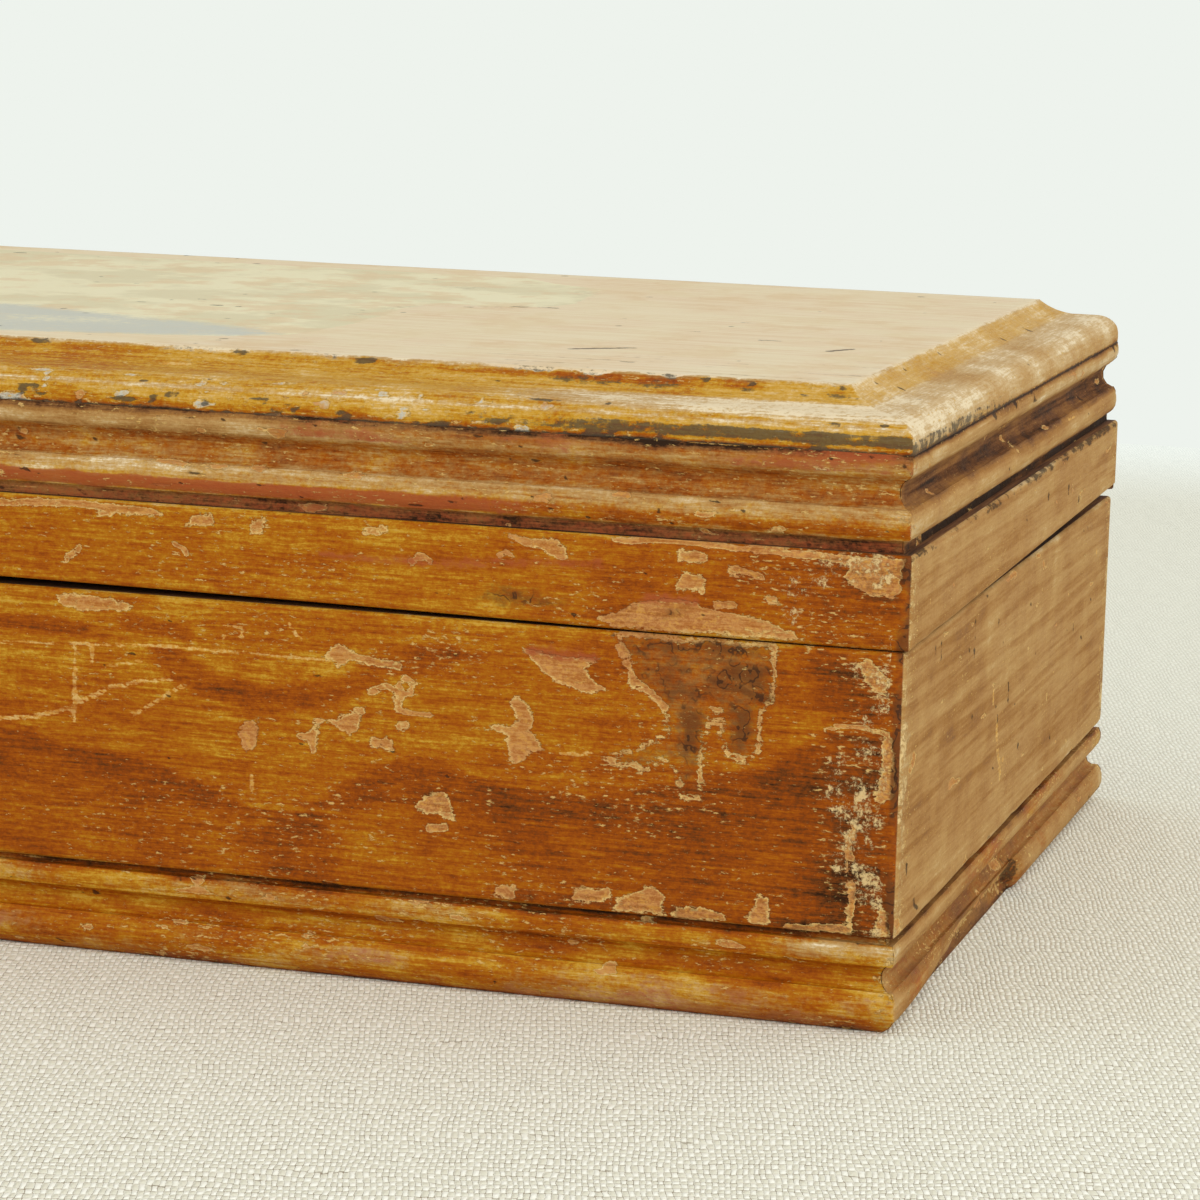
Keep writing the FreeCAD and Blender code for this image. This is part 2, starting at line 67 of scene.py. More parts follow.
# The box's half sizes and the levels of its joints, from the frame. An inset is measured
# inward from the body's outer face.
HALF_X = highest("body_right_end")[X]
HALF_Y = highest("body_back_board")[Y]
REBATE_LEVEL = lowest("bottom_board")[Z]
BASE_TOP = highest("base_moulding_front")[Z]
BODY_BOTTOM, BODY_TOP = lowest("body_front_board")[Z], highest("body_front_board")[Z]
RIM_BOTTOM, RIM_TOP = lowest("lid_rim_front")[Z], highest("lid_rim_front")[Z]
RIM_BACK_BOTTOM = lowest("lid_rim_back")[Z]
CORNICE_TOP = highest("lid_cornice_front")[Z]
BOARD_INSET = highest("body_front_board")[Y] + HALF_Y
BASE_INSET = highest("base_moulding_front")[Y] + HALF_Y
BASE_NOSE = lowest("base_moulding_front")[Y] + HALF_Y
CORNICE_NOSE = lowest("lid_cornice_front")[Y] + HALF_Y
LID_SHIFT = highest("lid_rim_right")[X] - HALF_X
# Not in the frame: the rebate's wall, the top board's blank, eased edges, worn corners.
REBATE_INSET = 6.5
TOP_BLANK_INSET = 0.45
ARRIS = 0.5
CORNER_RADIUS = 1.1
# How far a quarter circle of radius 1 stands out from its chord.
QUARTER_SWELL = 1 - math.sqrt(0.5)
LONG_SIDES = ("front", "back")


def half_length(side):
    """Half the length of a side of the box."""
    return HALF_X if side in LONG_SIDES else HALF_Y


# Noise in plain numpy, the same every run, and soft shapes for the marks of wear.
LATTICE_SIZE = 256
LATTICE = np.random.default_rng(20).permutation(LATTICE_SIZE)
LATTICE_VALUES = np.random.default_rng(21).random(LATTICE_SIZE)
SEED_SHIFT = 17.37
NOISE_LAYERS = 3


def smooth(part):
    """A share from 0 to 1, levelled off at both ends."""
    return part * part * (3 - 2 * part)


def noise(points, cell, seed):
    """Smooth noise from 0 to 1 at an array of points; cell is the lattice's size."""
    scaled = np.asarray(points, float) / np.asarray(cell, float) + seed * SEED_SHIFT
    whole = np.floor(scaled).astype(int)
    part = smooth(scaled - whole)
    total = 0.0
    for corner in np.ndindex(2, 2, 2):
        index = 0
        for axis in (Z, Y, X):
            index = LATTICE[(whole[..., axis] + corner[axis] + index) % LATTICE_SIZE]
        weight = np.prod(np.where(corner, part, 1 - part), axis=-1)
        total = total + weight * LATTICE_VALUES[index]
    return total


def layered_noise(points, cell, seed):
    """Noise with finer noise on it, from 0 to 1."""
    total, share, whole = 0.0, 1.0, 0.0
    for layer in range(NOISE_LAYERS):
        finer = np.asarray(cell, float) / 2**layer
        total = total + share * noise(points, finer, seed + layer)
        whole += share
        share *= 0.5
    return total / whole


def waver(points, cell, seed):
    """Layered noise around 0."""
    return layered_noise(points, cell, seed) - 0.5


def ease(value, low, high):
    """0 below low, 1 above high, smooth between."""
    return smooth(np.clip((value - low) / (high - low), 0, 1))


def fade(value, low, high):
    """1 below low, 0 above high, smooth between."""
    return 1 - ease(value, low, high)


def hump(value, low, lower, upper, high):
    """0 below low and above high, 1 from lower to upper."""
    return ease(value, low, lower) * fade(value, upper, high)


def strongest(*masks):
    """The highest of several masks at each point."""
    return reduce(np.maximum, masks)


def distance(u, v, start, end):
    """How far points are from a straight line that ends at two places."""
    du, dv = end[0] - start[0], end[1] - start[1]
    along = ((u - start[0]) * du + (v - start[1]) * dv) / (du * du + dv * dv)
    along = np.clip(along, 0, 1)
    return np.hypot(u - start[0] - along * du, v - start[1] - along * dv)


def region(u, v, corners, soft=1.0):
    """A patch inside corners: 0.5 at its edge, 1 from soft inside it, 0 from soft outside."""
    nearest = np.full(np.shape(u), np.inf)
    inside = np.zeros(np.shape(u), bool)
    for start, end in zip(corners, corners[1:] + corners[:1]):
        nearest = np.minimum(nearest, distance(u, v, start, end))
        du, dv = end[0] - start[0], end[1] - start[1]
        if dv:
            left = u < (v - start[1]) * du / dv + start[0]
            inside ^= ((start[1] > v) != (end[1] > v)) & left
    return np.clip(0.5 + np.where(inside, nearest, -nearest) / (2 * soft), 0, 1)


def stroke(u, v, path, width):
    """A line through places: 1 on it, 0.5 at the edge of its width, 0 at twice that."""
    nearest = [distance(u, v, start, end) for start, end in zip(path, path[1:])]
    return np.clip(1 - np.minimum.reduce(nearest) / width, 0, 1)


def patches(u, v, shapes, soft=1.0):
    """The union of patches."""
    return strongest(*(region(u, v, corners, soft) for corners in shapes))


def lines(u, v, shapes, thickness=1.0):
    """The union of lines, each at a share of its width."""
    return strongest(*(stroke(u, v, path, thickness * width) for path, width in shapes))


def spot(u, v, centre, size):
    """An oval spot: 1 at its middle, 0.5 at its edge, 0 at twice its size."""
    du, dv = (u - centre[0]) / size[0], (v - centre[1]) / size[1]
    return np.clip(1 - np.hypot(du, dv) / 2, 0, 1)


def ragged_place(world, amount, cell, seed):
    """How far marks are pushed out of shape along and across at each point."""
    return 2 * amount * waver(world, cell, seed), 2 * amount * waver(world, cell, seed + 5)


def speckle(world, cell, cover, seed):
    """Soft spots scattered over a share of the surface, 0.5 at their edges."""
    field = layered_noise(world, cell, seed)
    sharpness = 6
    return np.clip(0.5 + (field - np.quantile(field, 1 - cover)) * sharpness, 0, 1)


# Sections of the mitred frames. A corner is (inset, height, swell of the arc to the next
# corner, kind of face up to it); height is from the piece's underside, and a swell above
# zero bulges outward. A kind of face is also the place of its material on the piece.
OUTSIDE, INSIDE, JOINT = 0, 1, 2


def board_section(top):
    """A plain board with eased outer edges."""
    swell = ARRIS * QUARTER_SWELL
    return [
        (BOARD_INSET, 0, 0, INSIDE),
        (BOARD_INSET, top, 0, JOINT),
        (ARRIS, top, swell, OUTSIDE),
        (0, top - ARRIS, 0, OUTSIDE),
        (0, ARRIS, swell, OUTSIDE),
        (ARRIS, 0, 0, JOINT),
    ]


BASE_SECTION = [
    (BASE_INSET, 0, 0, INSIDE),
    (BASE_INSET, REBATE_LEVEL, 0, JOINT),
    (REBATE_INSET, REBATE_LEVEL, 0, JOINT),
    (REBATE_INSET, BASE_TOP, 0, JOINT),
    (1.3, BASE_TOP, 0, OUTSIDE),
    (1.3, 10.1, 0, OUTSIDE),
    (0.3, 10.1, 0.28, OUTSIDE),
    (0.3, 7.7, 0, OUTSIDE),
    (0.85, 7.7, -0.85, OUTSIDE),
    (0.85, 4.8, 0, OUTSIDE),
    (0.25, 4.8, 0.15, OUTSIDE),
    (BASE_NOSE, 2.8, 0.45, OUTSIDE),
    (1.5, 0, 0, JOINT),
]
CORNICE_SECTION = [
    (BOARD_INSET, 0, 0, INSIDE),
    (BOARD_INSET, CORNICE_TOP - RIM_TOP, 0, JOINT),
    (0.6, CORNICE_TOP - RIM_TOP, 0.5, OUTSIDE),
    (1.1, 8.1, -1.15, OUTSIDE),
    (0.95, 4.8, 0, OUTSIDE),
    (0.85, 4.8, 0.6, OUTSIDE),
    (0.85, 1.4, 0, OUTSIDE),
    (1.5, 1.4, 0, OUTSIDE),
    (1.5, 0, 0, JOINT),
]
# The top board's edge, from the edge of its flat outward and down to its underside.
TOP_EDGE = [
    (10.0, 6.2, -0.6, OUTSIDE),
    (4.5, 3.95, 0, OUTSIDE),
    (3.0, 3.8, 1.0, OUTSIDE),
    (0.6, 0, 0, OUTSIDE),
]
# How fine the meshes are: the steps of the front, of the other sides, of the top's edge
# and of its flat, in millimetres. Inner faces get longer steps, and so do the columns
# between the corners. The columns near a mitre have places of their own.
FRONT_STEP, SIDE_STEP, EDGE_STEP, FLAT_STEP = 0.38, 0.7, 0.4, 0.9
INNER_STRETCH, COLUMN_STRETCH = 4, 1.7
MITRE_COLUMNS = (0, 0.15, 0.3, 0.5, 0.75, 1.0, 1.4, 1.9, 2.5)
MITRE_ROOM = MITRE_COLUMNS[-1] + BOARD_INSET + 6
SHARP_ANGLE = math.radians(50)


def arc_point(start, end, swell, part):
    """A point part of the way round an arc, and the outward normal there."""
    chord = end - start
    length = np.linalg.norm(chord)
    along = chord / length
    out = np.array([along[1], -along[0]])
    if swell == 0:
        return start + chord * part, out
    radius = (length**2 / 4 + swell**2) / (2 * swell)
    angle = math.asin(length / (2 * radius)) * (2 * part - 1)
    normal = math.cos(angle) * out + math.sin(angle) * along
    return (start + end) / 2 + out * (swell - radius) + normal * radius, normal


def sample_section(section, step, closed=True):
    """Points round a section, their outward normals and the kind of face after each."""
    points, normals, kinds = [], [], []
    ends = section[1:] + section[:1] if closed else section[1:]
    for (inset, height, swell, kind), end in zip(section, ends):
        start = np.array([inset, height], float)
        finish = np.array(end[:2], float)
        stretch = 1 if kind == OUTSIDE else INNER_STRETCH
        count = round(np.linalg.norm(finish - start) / (stretch * step))
        count = max(3 if swell else 1, count)
        for part in np.arange(count) / count:
            point, normal = arc_point(start, finish, swell, part)
            points.append(point)
            normals.append(normal)
            kinds.append(kind)
    if not closed:
        points.append(np.array(section[-1][:2], float))
        normals.append(normals[-1])
        kinds.append(OUTSIDE)
    return np.array(points), np.array(normals), np.array(kinds)


# Meshes.
def place(side, along, inset):
    """World x and y of points along a side of the box, at insets from its outer face."""
    if side == "front":
        return along, inset - HALF_Y
    if side == "right":
        return HALF_X - inset, along
    if side == "back":
        return -along, HALF_Y - inset
    return inset - HALF_X, -along


def add_object(name, data):
    """A new object in the scene."""
    obj = bpy.data.objects.new(name, data)
    bpy.context.scene.collection.objects.link(obj)
    return obj


def make_object(name, world, faces, slots, materials, masks):
    """A mesh object from a grid of points, with a float per point for each mask."""
    mesh = bpy.data.meshes.new(name)
    mesh.from_pydata((world.reshape(-1, 3) * MM).tolist(), [], faces)
    for material in materials:
        mesh.materials.append(material)
    mesh.polygons.foreach_set("material_index", slots)
    for mask, values in masks.items():
        values = np.broadcast_to(values, world.shape[:2]).ravel()
        layer = mesh.attributes.new(mask, "FLOAT", "POINT")
        layer.data.foreach_set("value", values.astype(np.float32))
    shaped = bmesh.new()
    shaped.from_mesh(mesh)
    bmesh.ops.recalc_face_normals(shaped, faces=shaped.faces)
    shaped.to_mesh(mesh)
    shaped.free()
    mesh.set_sharp_from_angle(angle=SHARP_ANGLE)
    return add_object(name, mesh)


def frame_side(name, side, level, section, nose, step, masks, materials, shift, hollow):
    """One side of a mitred frame, with worn outer faces.

    nose is the inset of the section's outermost point. masks works out the wear at the
    points of the piece. shift moves it along X. hollow, if given, lifts the lowest points
    of the section by an amount that changes along the piece.
    """
    half = half_length(side)
    loop, normals, kinds = sample_section(section, step)
    ends = half - np.maximum(loop[:, 0], nose + CORNER_RADIUS * QUARTER_SWELL)
    count = round(2 * (half - MITRE_ROOM) / (step * COLUMN_STRETCH))
    middle = np.linspace(-1, 1, max(3, count))
    left = np.array([[inward - end for inward in MITRE_COLUMNS] for end in ends])
    right = -left[:, ::-1]
    inner = left[:, -1:] + (middle[1:-1] + 1) / 2 * (right[:, :1] - left[:, -1:])
    along = np.hstack([left, inner, right])
    inset = np.repeat(loop[:, :1], along.shape[1], axis=1)
    height = np.repeat(loop[:, 1:], along.shape[1], axis=1)
    # The worn upright corners.
    depth = np.clip(CORNER_RADIUS - (half - nose - np.abs(along)), 0, CORNER_RADIUS)
    rounded = nose + CORNER_RADIUS - np.sqrt(CORNER_RADIUS**2 - depth**2)
    inset = np.maximum(inset, rounded)
    if hollow is not None:
        bottom, span = height.min(), height.max() - height.min()
        height = height + hollow(along) * (1 - (height - bottom) / span)
    world_x, world_y = place(side, along, inset)
    world = np.stack([world_x + shift, world_y, height + level], axis=-1)
    wear = masks(side, world, along)
    outside = (kinds == OUTSIDE) & (np.roll(kinds, 1) == OUTSIDE)
    dent = wear.pop("dent") * outside[:, None]
    none = np.zeros(len(loop))
    outward, origin = place(side, none, normals[:, 0]), place(side, none, none)
    for axis in (X, Y):
        world[..., axis] -= dent * (outward[axis] - origin[axis])[:, None]
    world[..., Z] -= dent * normals[:, 1:]
    index = np.arange(along.size).reshape(along.shape)
    above = np.roll(index, -1, axis=0)
    quads = np.stack([index[:, :-1], index[:, 1:], above[:, 1:], above[:, :-1]], axis=-1)
    faces = quads.reshape(-1, 4).tolist()
    faces += [index[::-1, 0].tolist(), index[:, -1].tolist()]
    slots = np.repeat(kinds, along.shape[1] - 1).tolist() + [JOINT, JOINT]
    return make_object(name, world, faces, slots, materials, wear)


def top_board(name, materials):
    """The lid's top board: a flat with a moulded edge all round, and a plain underside.

    Its materials are the face's, the underside's and the moulded ends'.
    """
    edge = sample_section(TOP_EDGE, EDGE_STEP, closed=False)[0][::-1]
    last = len(edge) - 1

    def lines_across(half):
        """Places across the board, and how many steps of the edge each is from its rim."""
        span = half - edge[last][0]
        flat = np.linspace(-span, span, 2 * round(span / FLAT_STEP) + 1)
        places = np.concatenate([edge[:last, 0] - half, flat, half - edge[last - 1 :: -1, 0]])
        ranks = np.minimum(np.arange(len(places)), last)
        return places, np.minimum(ranks, ranks[::-1])

    (line_x, rank_x), (line_y, rank_y) = lines_across(HALF_X), lines_across(HALF_Y)
    x, y = np.meshgrid(line_x, line_y, indexing="ij")
    rank = np.minimum(rank_x[:, None], rank_y[None, :])
    inset, height = edge[rank, 0], edge[rank, 1]
    x = np.sign(x) * np.minimum(np.abs(x), HALF_X - inset)
    y = np.sign(y) * np.minimum(np.abs(y), HALF_Y - inset)
    # The worn upright corners.
    over_x = np.abs(x) - (HALF_X - TOP_BLANK_INSET - CORNER_RADIUS)
    over_y = np.abs(y) - (HALF_Y - TOP_BLANK_INSET - CORNER_RADIUS)
    reach = np.hypot(over_x, over_y)
    beyond = (over_x > 0) & (over_y > 0) & (reach > CORNER_RADIUS)
    shrink = 1 - CORNER_RADIUS / np.where(beyond, reach, CORNER_RADIUS)
    x = x - np.sign(x) * over_x * shrink
    y = y - np.sign(y) * over_y * shrink
    world = np.stack([x + LID_SHIFT, y, height + CORNICE_TOP], axis=-1)
    wear = top_masks(world)
    world[..., Z] -= wear.pop("dent") * (rank > 0)
    index = np.arange(x.size).reshape(x.shape)
    corners = [index[:-1, :-1], index[1:, :-1], index[1:, 1:], index[:-1, 1:]]
    faces = np.stack(corners, axis=-1).reshape(-1, 4).tolist()
    border = [index[:-1, 0], index[-1, :-1], index[:0:-1, -1], index[0, :0:-1]]
    faces.append(np.concatenate(border)[::-1].tolist())
    on_end = np.minimum(rank_x[:-1], rank_x[1:])[:, None] < np.minimum(rank_y[:-1], rank_y[1:])
    slots = (2 * on_end).ravel().tolist() + [1]
    return make_object(name, world, faces, slots, materials, wear)


def carve(obj, boxes):
    """Cut boxes, each a lowest and a highest corner in millimetres, out of an object."""
    for low, high in boxes:
        low, high = np.array(low), np.array(high)
        mesh = bpy.data.meshes.new("cutter")
        shaped = bmesh.new()
        size = Matrix.Diagonal([*((high - low) * MM), 1])
        middle = Matrix.Translation((high + low) / 2 * MM)
        bmesh.ops.create_cube(shaped, size=1, matrix=middle @ size)
        shaped.to_mesh(mesh)
        shaped.free()
        cutter = add_object("cutter", mesh)
        cut = obj.modifiers.new("cut", "BOOLEAN")
        cut.operation = "DIFFERENCE"
        cut.solver = "EXACT"
        cut.object = cutter
        graph = bpy.context.evaluated_depsgraph_get()
        result = bpy.data.meshes.new_from_object(obj.evaluated_get(graph))
        obj.modifiers.clear()
        obj.data = result
        bpy.data.objects.remove(cutter)
        bpy.data.meshes.remove(mesh)


# Materials. A Shader wraps a node tree, so that a material reads as plain arithmetic.
class Value:
    """What a node works out, ready for arithmetic in more nodes."""

    def __init__(self, shader, socket):
        self.shader = shader
        self.socket = socket

    def __add__(self, other):
        return self.shader.math("ADD", self, other)

    def __sub__(self, other):
        return self.shader.math("SUBTRACT", self, other)

    def __rsub__(self, other):
        return self.shader.math("SUBTRACT", other, self)

    def __mul__(self, other):
        return self.shader.math("MULTIPLY", self, other)

    def __abs__(self):
        return self.shader.math("ABSOLUTE", self)


class Shader:
    """A material's node tree and its principled shader; axis is the way of the grain."""

    def __init__(self, name, axis=X):
        self.material = bpy.data.materials.new(name)
        self.material.use_nodes = True
        self.tree = self.material.node_tree
        self.place = self.step("TexCoord", "Object", {})
        self.axis = axis

    def feed(self, socket, value):
        """Link a value to a socket, or set the socket's constant."""
        if isinstance(value, Value):
            self.tree.links.new(value.socket, socket)
        elif socket.type == "RGBA":
            socket.default_value = (*value, 1)
        else:
            socket.default_value = value

    def step(self, kind, output, inputs, **settings):
        """The value of one output of a new node, its inputs fed by name or number."""
        node = self.tree.nodes.new("ShaderNode" + kind)
        for name, setting in settings.items():
            setattr(node, name, setting)
        for name, value in inputs.items():
            self.feed(node.inputs[name], value)
        return Value(self, node.outputs[output])

    def mask(self, name):
        """A float of the mesh."""
        return self.step("Attribute", "Fac", {}, attribute_name=name)

    def math(self, operation, first, second=0.0, clamp=False):
        """One arithmetic step."""
        inputs = {0: first, 1: second}
        return self.step("Math", 0, inputs, operation=operation, use_clamp=clamp)

    def varied(self, value, patterns, clamp=False):
        """A value raised and lowered by patterns around 0.5, each with its amount."""
        for pattern, amount in patterns:
            value = self.math("ADD", value, (pattern - 0.5) * amount, clamp)
        return value

    def span(self, value, low, high, to_low=0.0, to_high=1.0):
        """A value's place from low to high, smoothly from to_low to to_high."""
        ends = {"From Min": low, "From Max": high, "To Min": to_low, "To Max": to_high}
        inputs = {"Value": value, **ends}
        return self.step("MapRange", "Result", inputs, interpolation_type="SMOOTHSTEP")

    def mix(self, share, first, second):
        """A share of the second colour over the first."""
        # A Mix node numbers its colours 6 and 7 and their mixture 2.
        return self.step("Mix", 2, {"Factor": share, 6: first, 7: second}, data_type="RGBA")

    def wash(self, colour, paint, pattern, low, high, share=1.0):
        """Paint over a colour where a pattern is high, up to a share of it."""
        return self.mix(self.span(pattern, low, high, 0, share), colour, paint)

    def cells(self, size, turn, shift=0.0):
        """Object coordinates counted in cells of a size in millimetres, turned about Z."""
        inputs = {
            "Vector": self.place,
            "Scale": [edge * MM for edge in size],
            "Location": [shift * edge * MM for edge in size],
            "Rotation": [0, 0, math.radians(turn)],
        }
        return self.step("Mapping", "Vector", inputs, vector_type="TEXTURE")

    def noise(self, size, shift, detail, roughness, distortion=0.0, turn=0.0):
        """Noise around 0.5."""
        inputs = {
            "Vector": self.cells(size, turn, shift),
            "Scale": 1.0,
            "Detail": detail,
            "Roughness": roughness,
            "Distortion": distortion,
        }
        return self.step("TexNoise", "Fac", inputs)

    def grain(self, along, across, *settings):
        """Noise in cells that are longer or shorter along the grain than across it."""
        size = [across, across, across]
        size[self.axis] = along
        return self.noise(size, *settings)

    def ramp(self, value, stops):
        """A colour by value, between stops of (value, colour)."""
        shade = self.step("ValToRGB", "Color", {"Fac": value})
        elements = shade.socket.node.color_ramp.elements
        for i, (position, colour) in enumerate(stops):
            element = elements[i] if i < 2 else elements.new(position)
            element.position = position
            element.color = (*colour, 1)
        return shade

    def finish(self, inputs, relief, depth):
        """The material: its surface's inputs, and a relief of a depth in millimetres."""
        normal = self.step("Bump", "Normal", {"Distance": depth * MM, "Height": relief})
        surface = self.tree.nodes["Principled BSDF"]
        for name, value in {**inputs, "Normal": normal}.items():
            self.feed(surface.inputs[name], value)
        return self.material


class OldWood(Shader):
    """A shader with the patterns of old wood, and a pattern that frays the wear's edges."""

    def __init__(self, name, axis):
        super().__init__(name, axis)
        self.figure = self.grain(60, 6, 3.1, 2, 0.5, 0.6)
        self.streaks = self.grain(24, 0.8, 7.7, 4, 0.6)
        self.fibres = self.grain(4, 0.3, 1.9, 3, 0.7)
        self.mottle = self.noise((8, 8, 8), 5.3, 4, 0.6)
        self.fine = self.noise((1.1, 1.1, 0.8), 9.1, 4, 0.7)
        self.grit = self.noise((0.55, 0.55, 0.4), 4.4, 3, 0.7)
        fraying = (self.fine - 0.5) * 0.9
        self.fraying = self.varied(fraying, ((self.fibres, 0.5), (self.grit, 0.3)))

    def frayed(self, mask):
        """A float of the mesh with frayed edges."""
        return self.mask(mask) + self.fraying


# Colours by tone, from the dark of a groove to wood worn pale, and plain colours.
VARNISH = [
    (0.0, (0.03, 0.01, 0.002)),
    (0.15, (0.125, 0.034, 0.005)),
    (0.3, (0.245, 0.05, 0.002)),
    (0.45, (0.338, 0.082, 0.002)),
    (0.6, (0.398, 0.142, 0.004)),
    (0.75, (0.505, 0.265, 0.02)),
    (0.9, (0.575, 0.345, 0.075)),
    (1.0, (0.64, 0.44, 0.18)),
]
WORN = [
    (0.0, (0.028, 0.013, 0.006)),
    (0.15, (0.12, 0.046, 0.015)),
    (0.3, (0.235, 0.105, 0.032)),
    (0.45, (0.32, 0.15, 0.038)),
    (0.6, (0.4, 0.215, 0.07)),
    (0.75, (0.47, 0.285, 0.105)),
    (0.9, (0.58, 0.42, 0.22)),
    (1.0, (0.76, 0.64, 0.43)),
]
FLAKED = (0.52, 0.25, 0.085)
FLAKED_DULL = (0.41, 0.165, 0.04)
FLAKE_RIM = (0.68, 0.46, 0.17)
FLECK = (0.6, 0.36, 0.1)
CREAM = (0.76, 0.6, 0.33)
SCRATCHED = (0.6, 0.3, 0.05)
DIRT = (0.03, 0.016, 0.009)
SOOT = (0.055, 0.045, 0.033)
STAIN = (0.34, 0.076, 0.024)
# The colour of knots and dark marks, also used for painted shade on the right arris.
DARK_MARKS_AND_SHADE = (0.13, 0.042, 0.01)
KNOT_LINE = (0.045, 0.018, 0.008)
# The top's pale colours: bare faded wood, with the brighter light on the top painted in.
FADED_FLAT = (0.76, 0.64, 0.45)
FADED_FLAT_WARM = (0.7, 0.54, 0.33)
FADED_PATCH = (0.78, 0.73, 0.5)
FADED_PATCH_DIM = (0.68, 0.62, 0.41)
FADED_BAND = (0.56, 0.57, 0.49)
GREYED = (0.52, 0.5, 0.41)
# Each metal's colour, its tarnish and its spots.
BRASS = ((0.42, 0.27, 0.09), (0.14, 0.08, 0.03), (0.05, 0.03, 0.015))
IRON = ((0.16, 0.14, 0.12), (0.07, 0.045, 0.03), (0.11, 0.045, 0.02))

VARNISH_SHINE, WOOD_SHINE = 0.08, 0.2
WOOD_ROUGHNESS = 0.8
INSIDE_TONE, JOINT_TONE = 0.62, 0.12
END_RINGS, END_FIBRES = 0.14, 0.5


def faded_top(wood, colour):
    """The top's bare, faded flat and the pale patch where something was once stuck on it, with
    the top's brighter light painted into their colours.
    """
    mottle = wood.mottle
    cloudy = wood.noise((14, 14, 9), 12.3, 4, 0.6)
    flat = wood.wash(FADED_FLAT, FADED_FLAT_WARM, wood.streaks, 0.42, 0.6, 0.75)
    flat = wood.wash(flat, FADED_FLAT_WARM, mottle, 0.5, 0.66, 0.75)
    flat = wood.wash(flat, FADED_PATCH, cloudy, 0.42, 0.6, 0.3)
    patch = wood.wash(FADED_PATCH, FADED_PATCH_DIM, cloudy, 0.45, 0.6, 0.9)
    patch = wood.wash(patch, FADED_FLAT_WARM, mottle, 0.48, 0.62, 0.6)
    patch = wood.wash(patch, FADED_BAND, wood.frayed("band"), 0.25, 0.85)
    flat = wood.wash(flat, patch, wood.frayed("patch"), 0.4, 0.6)
    return wood.wash(colour, flat, wood.frayed("flat"), 0.4, 0.6)


def scratched(wood, colour):
    """Fine bare lines, broken up by the streaks of the grain."""
    share = wood.span(wood.frayed("scratch"), 0.56, 0.76, 0, 0.8)
    share = share * wood.span(wood.streaks, 0.36, 0.56, 0.25, 1.0)
    line = wood.wash(SCRATCHED, FLAKE_RIM, wood.grit, 0.42, 0.6)
    return wood.mix(share, colour, line)


def flaked(wood, colour, faded):
    """Places where the varnish has flaked off, with paler rims, and a mask of them."""
    chip = wood.frayed("chip")
    share = wood.span(chip, 0.46, 0.54)
    rim = wood.wash(FLAKED, FLAKE_RIM, wood.mottle, 0.36, 0.52)
    if faded:
        floor = wood.wash(FLAKED, GREYED, wood.mottle, 0.4, 0.5)
    else:
        floor = wood.wash(FLAKED_DULL, FLAKED, wood.fibres, 0.38, 0.6)
        floor = wood.wash(floor, SCRATCHED, wood.grit, 0.5, 0.64, 0.5)
    flake = wood.wash(rim, floor, chip, 0.57, 0.7)
    thin = wood.span(wood.grit, 0.35, 0.6, 0.5, 1.0)
    return wood.mix(share * thin, colour, flake), share


def knotted(wood, colour, faded):
    """The dark of knots and dark marks, and painted shade on a corner edge, under varnish with
    the lines of rings.
    """
    colour = wood.wash(colour, DARK_MARKS_AND_SHADE, wood.frayed("knot"), 0.2, 0.9, 0.85)
    if faded:
        return colour
    whorl = wood.math("SINE", wood.mottle * 75.0)
    whorl = wood.span(whorl, 0.5, 1.0) + wood.fraying
    lined = wood.span(whorl, 0.5, 0.8) * wood.span(wood.mask("knot"), 0.3, 0.75)
    return wood.mix(lined * 0.8, colour, KNOT_LINE)


def flecked(wood, colour):
    """Pale flecks of crazed varnish along the grain, and a mask of them.

    Where the crazing is thick they are cream and no longer follow the grain.
    """
    crazed = wood.mask("crazed")
    creamy = wood.span(crazed, 0.7, 1.1)
    flecks = wood.grain(1.0, 0.34, 6.6, 3, 0.65)
    flakes = wood.noise((1.3, 1.3, 1.2), 15.5, 5, 0.85)
    flecks = flecks + creamy * (flakes - flecks)
    share = wood.span(flecks + crazed * 0.16, 0.66, 0.76, 0, 0.85)
    fleck = wood.mix(wood.grit, wood.mix(creamy, FLECK, CREAM), FLAKE_RIM)
    return wood.mix(share, colour, fleck), share


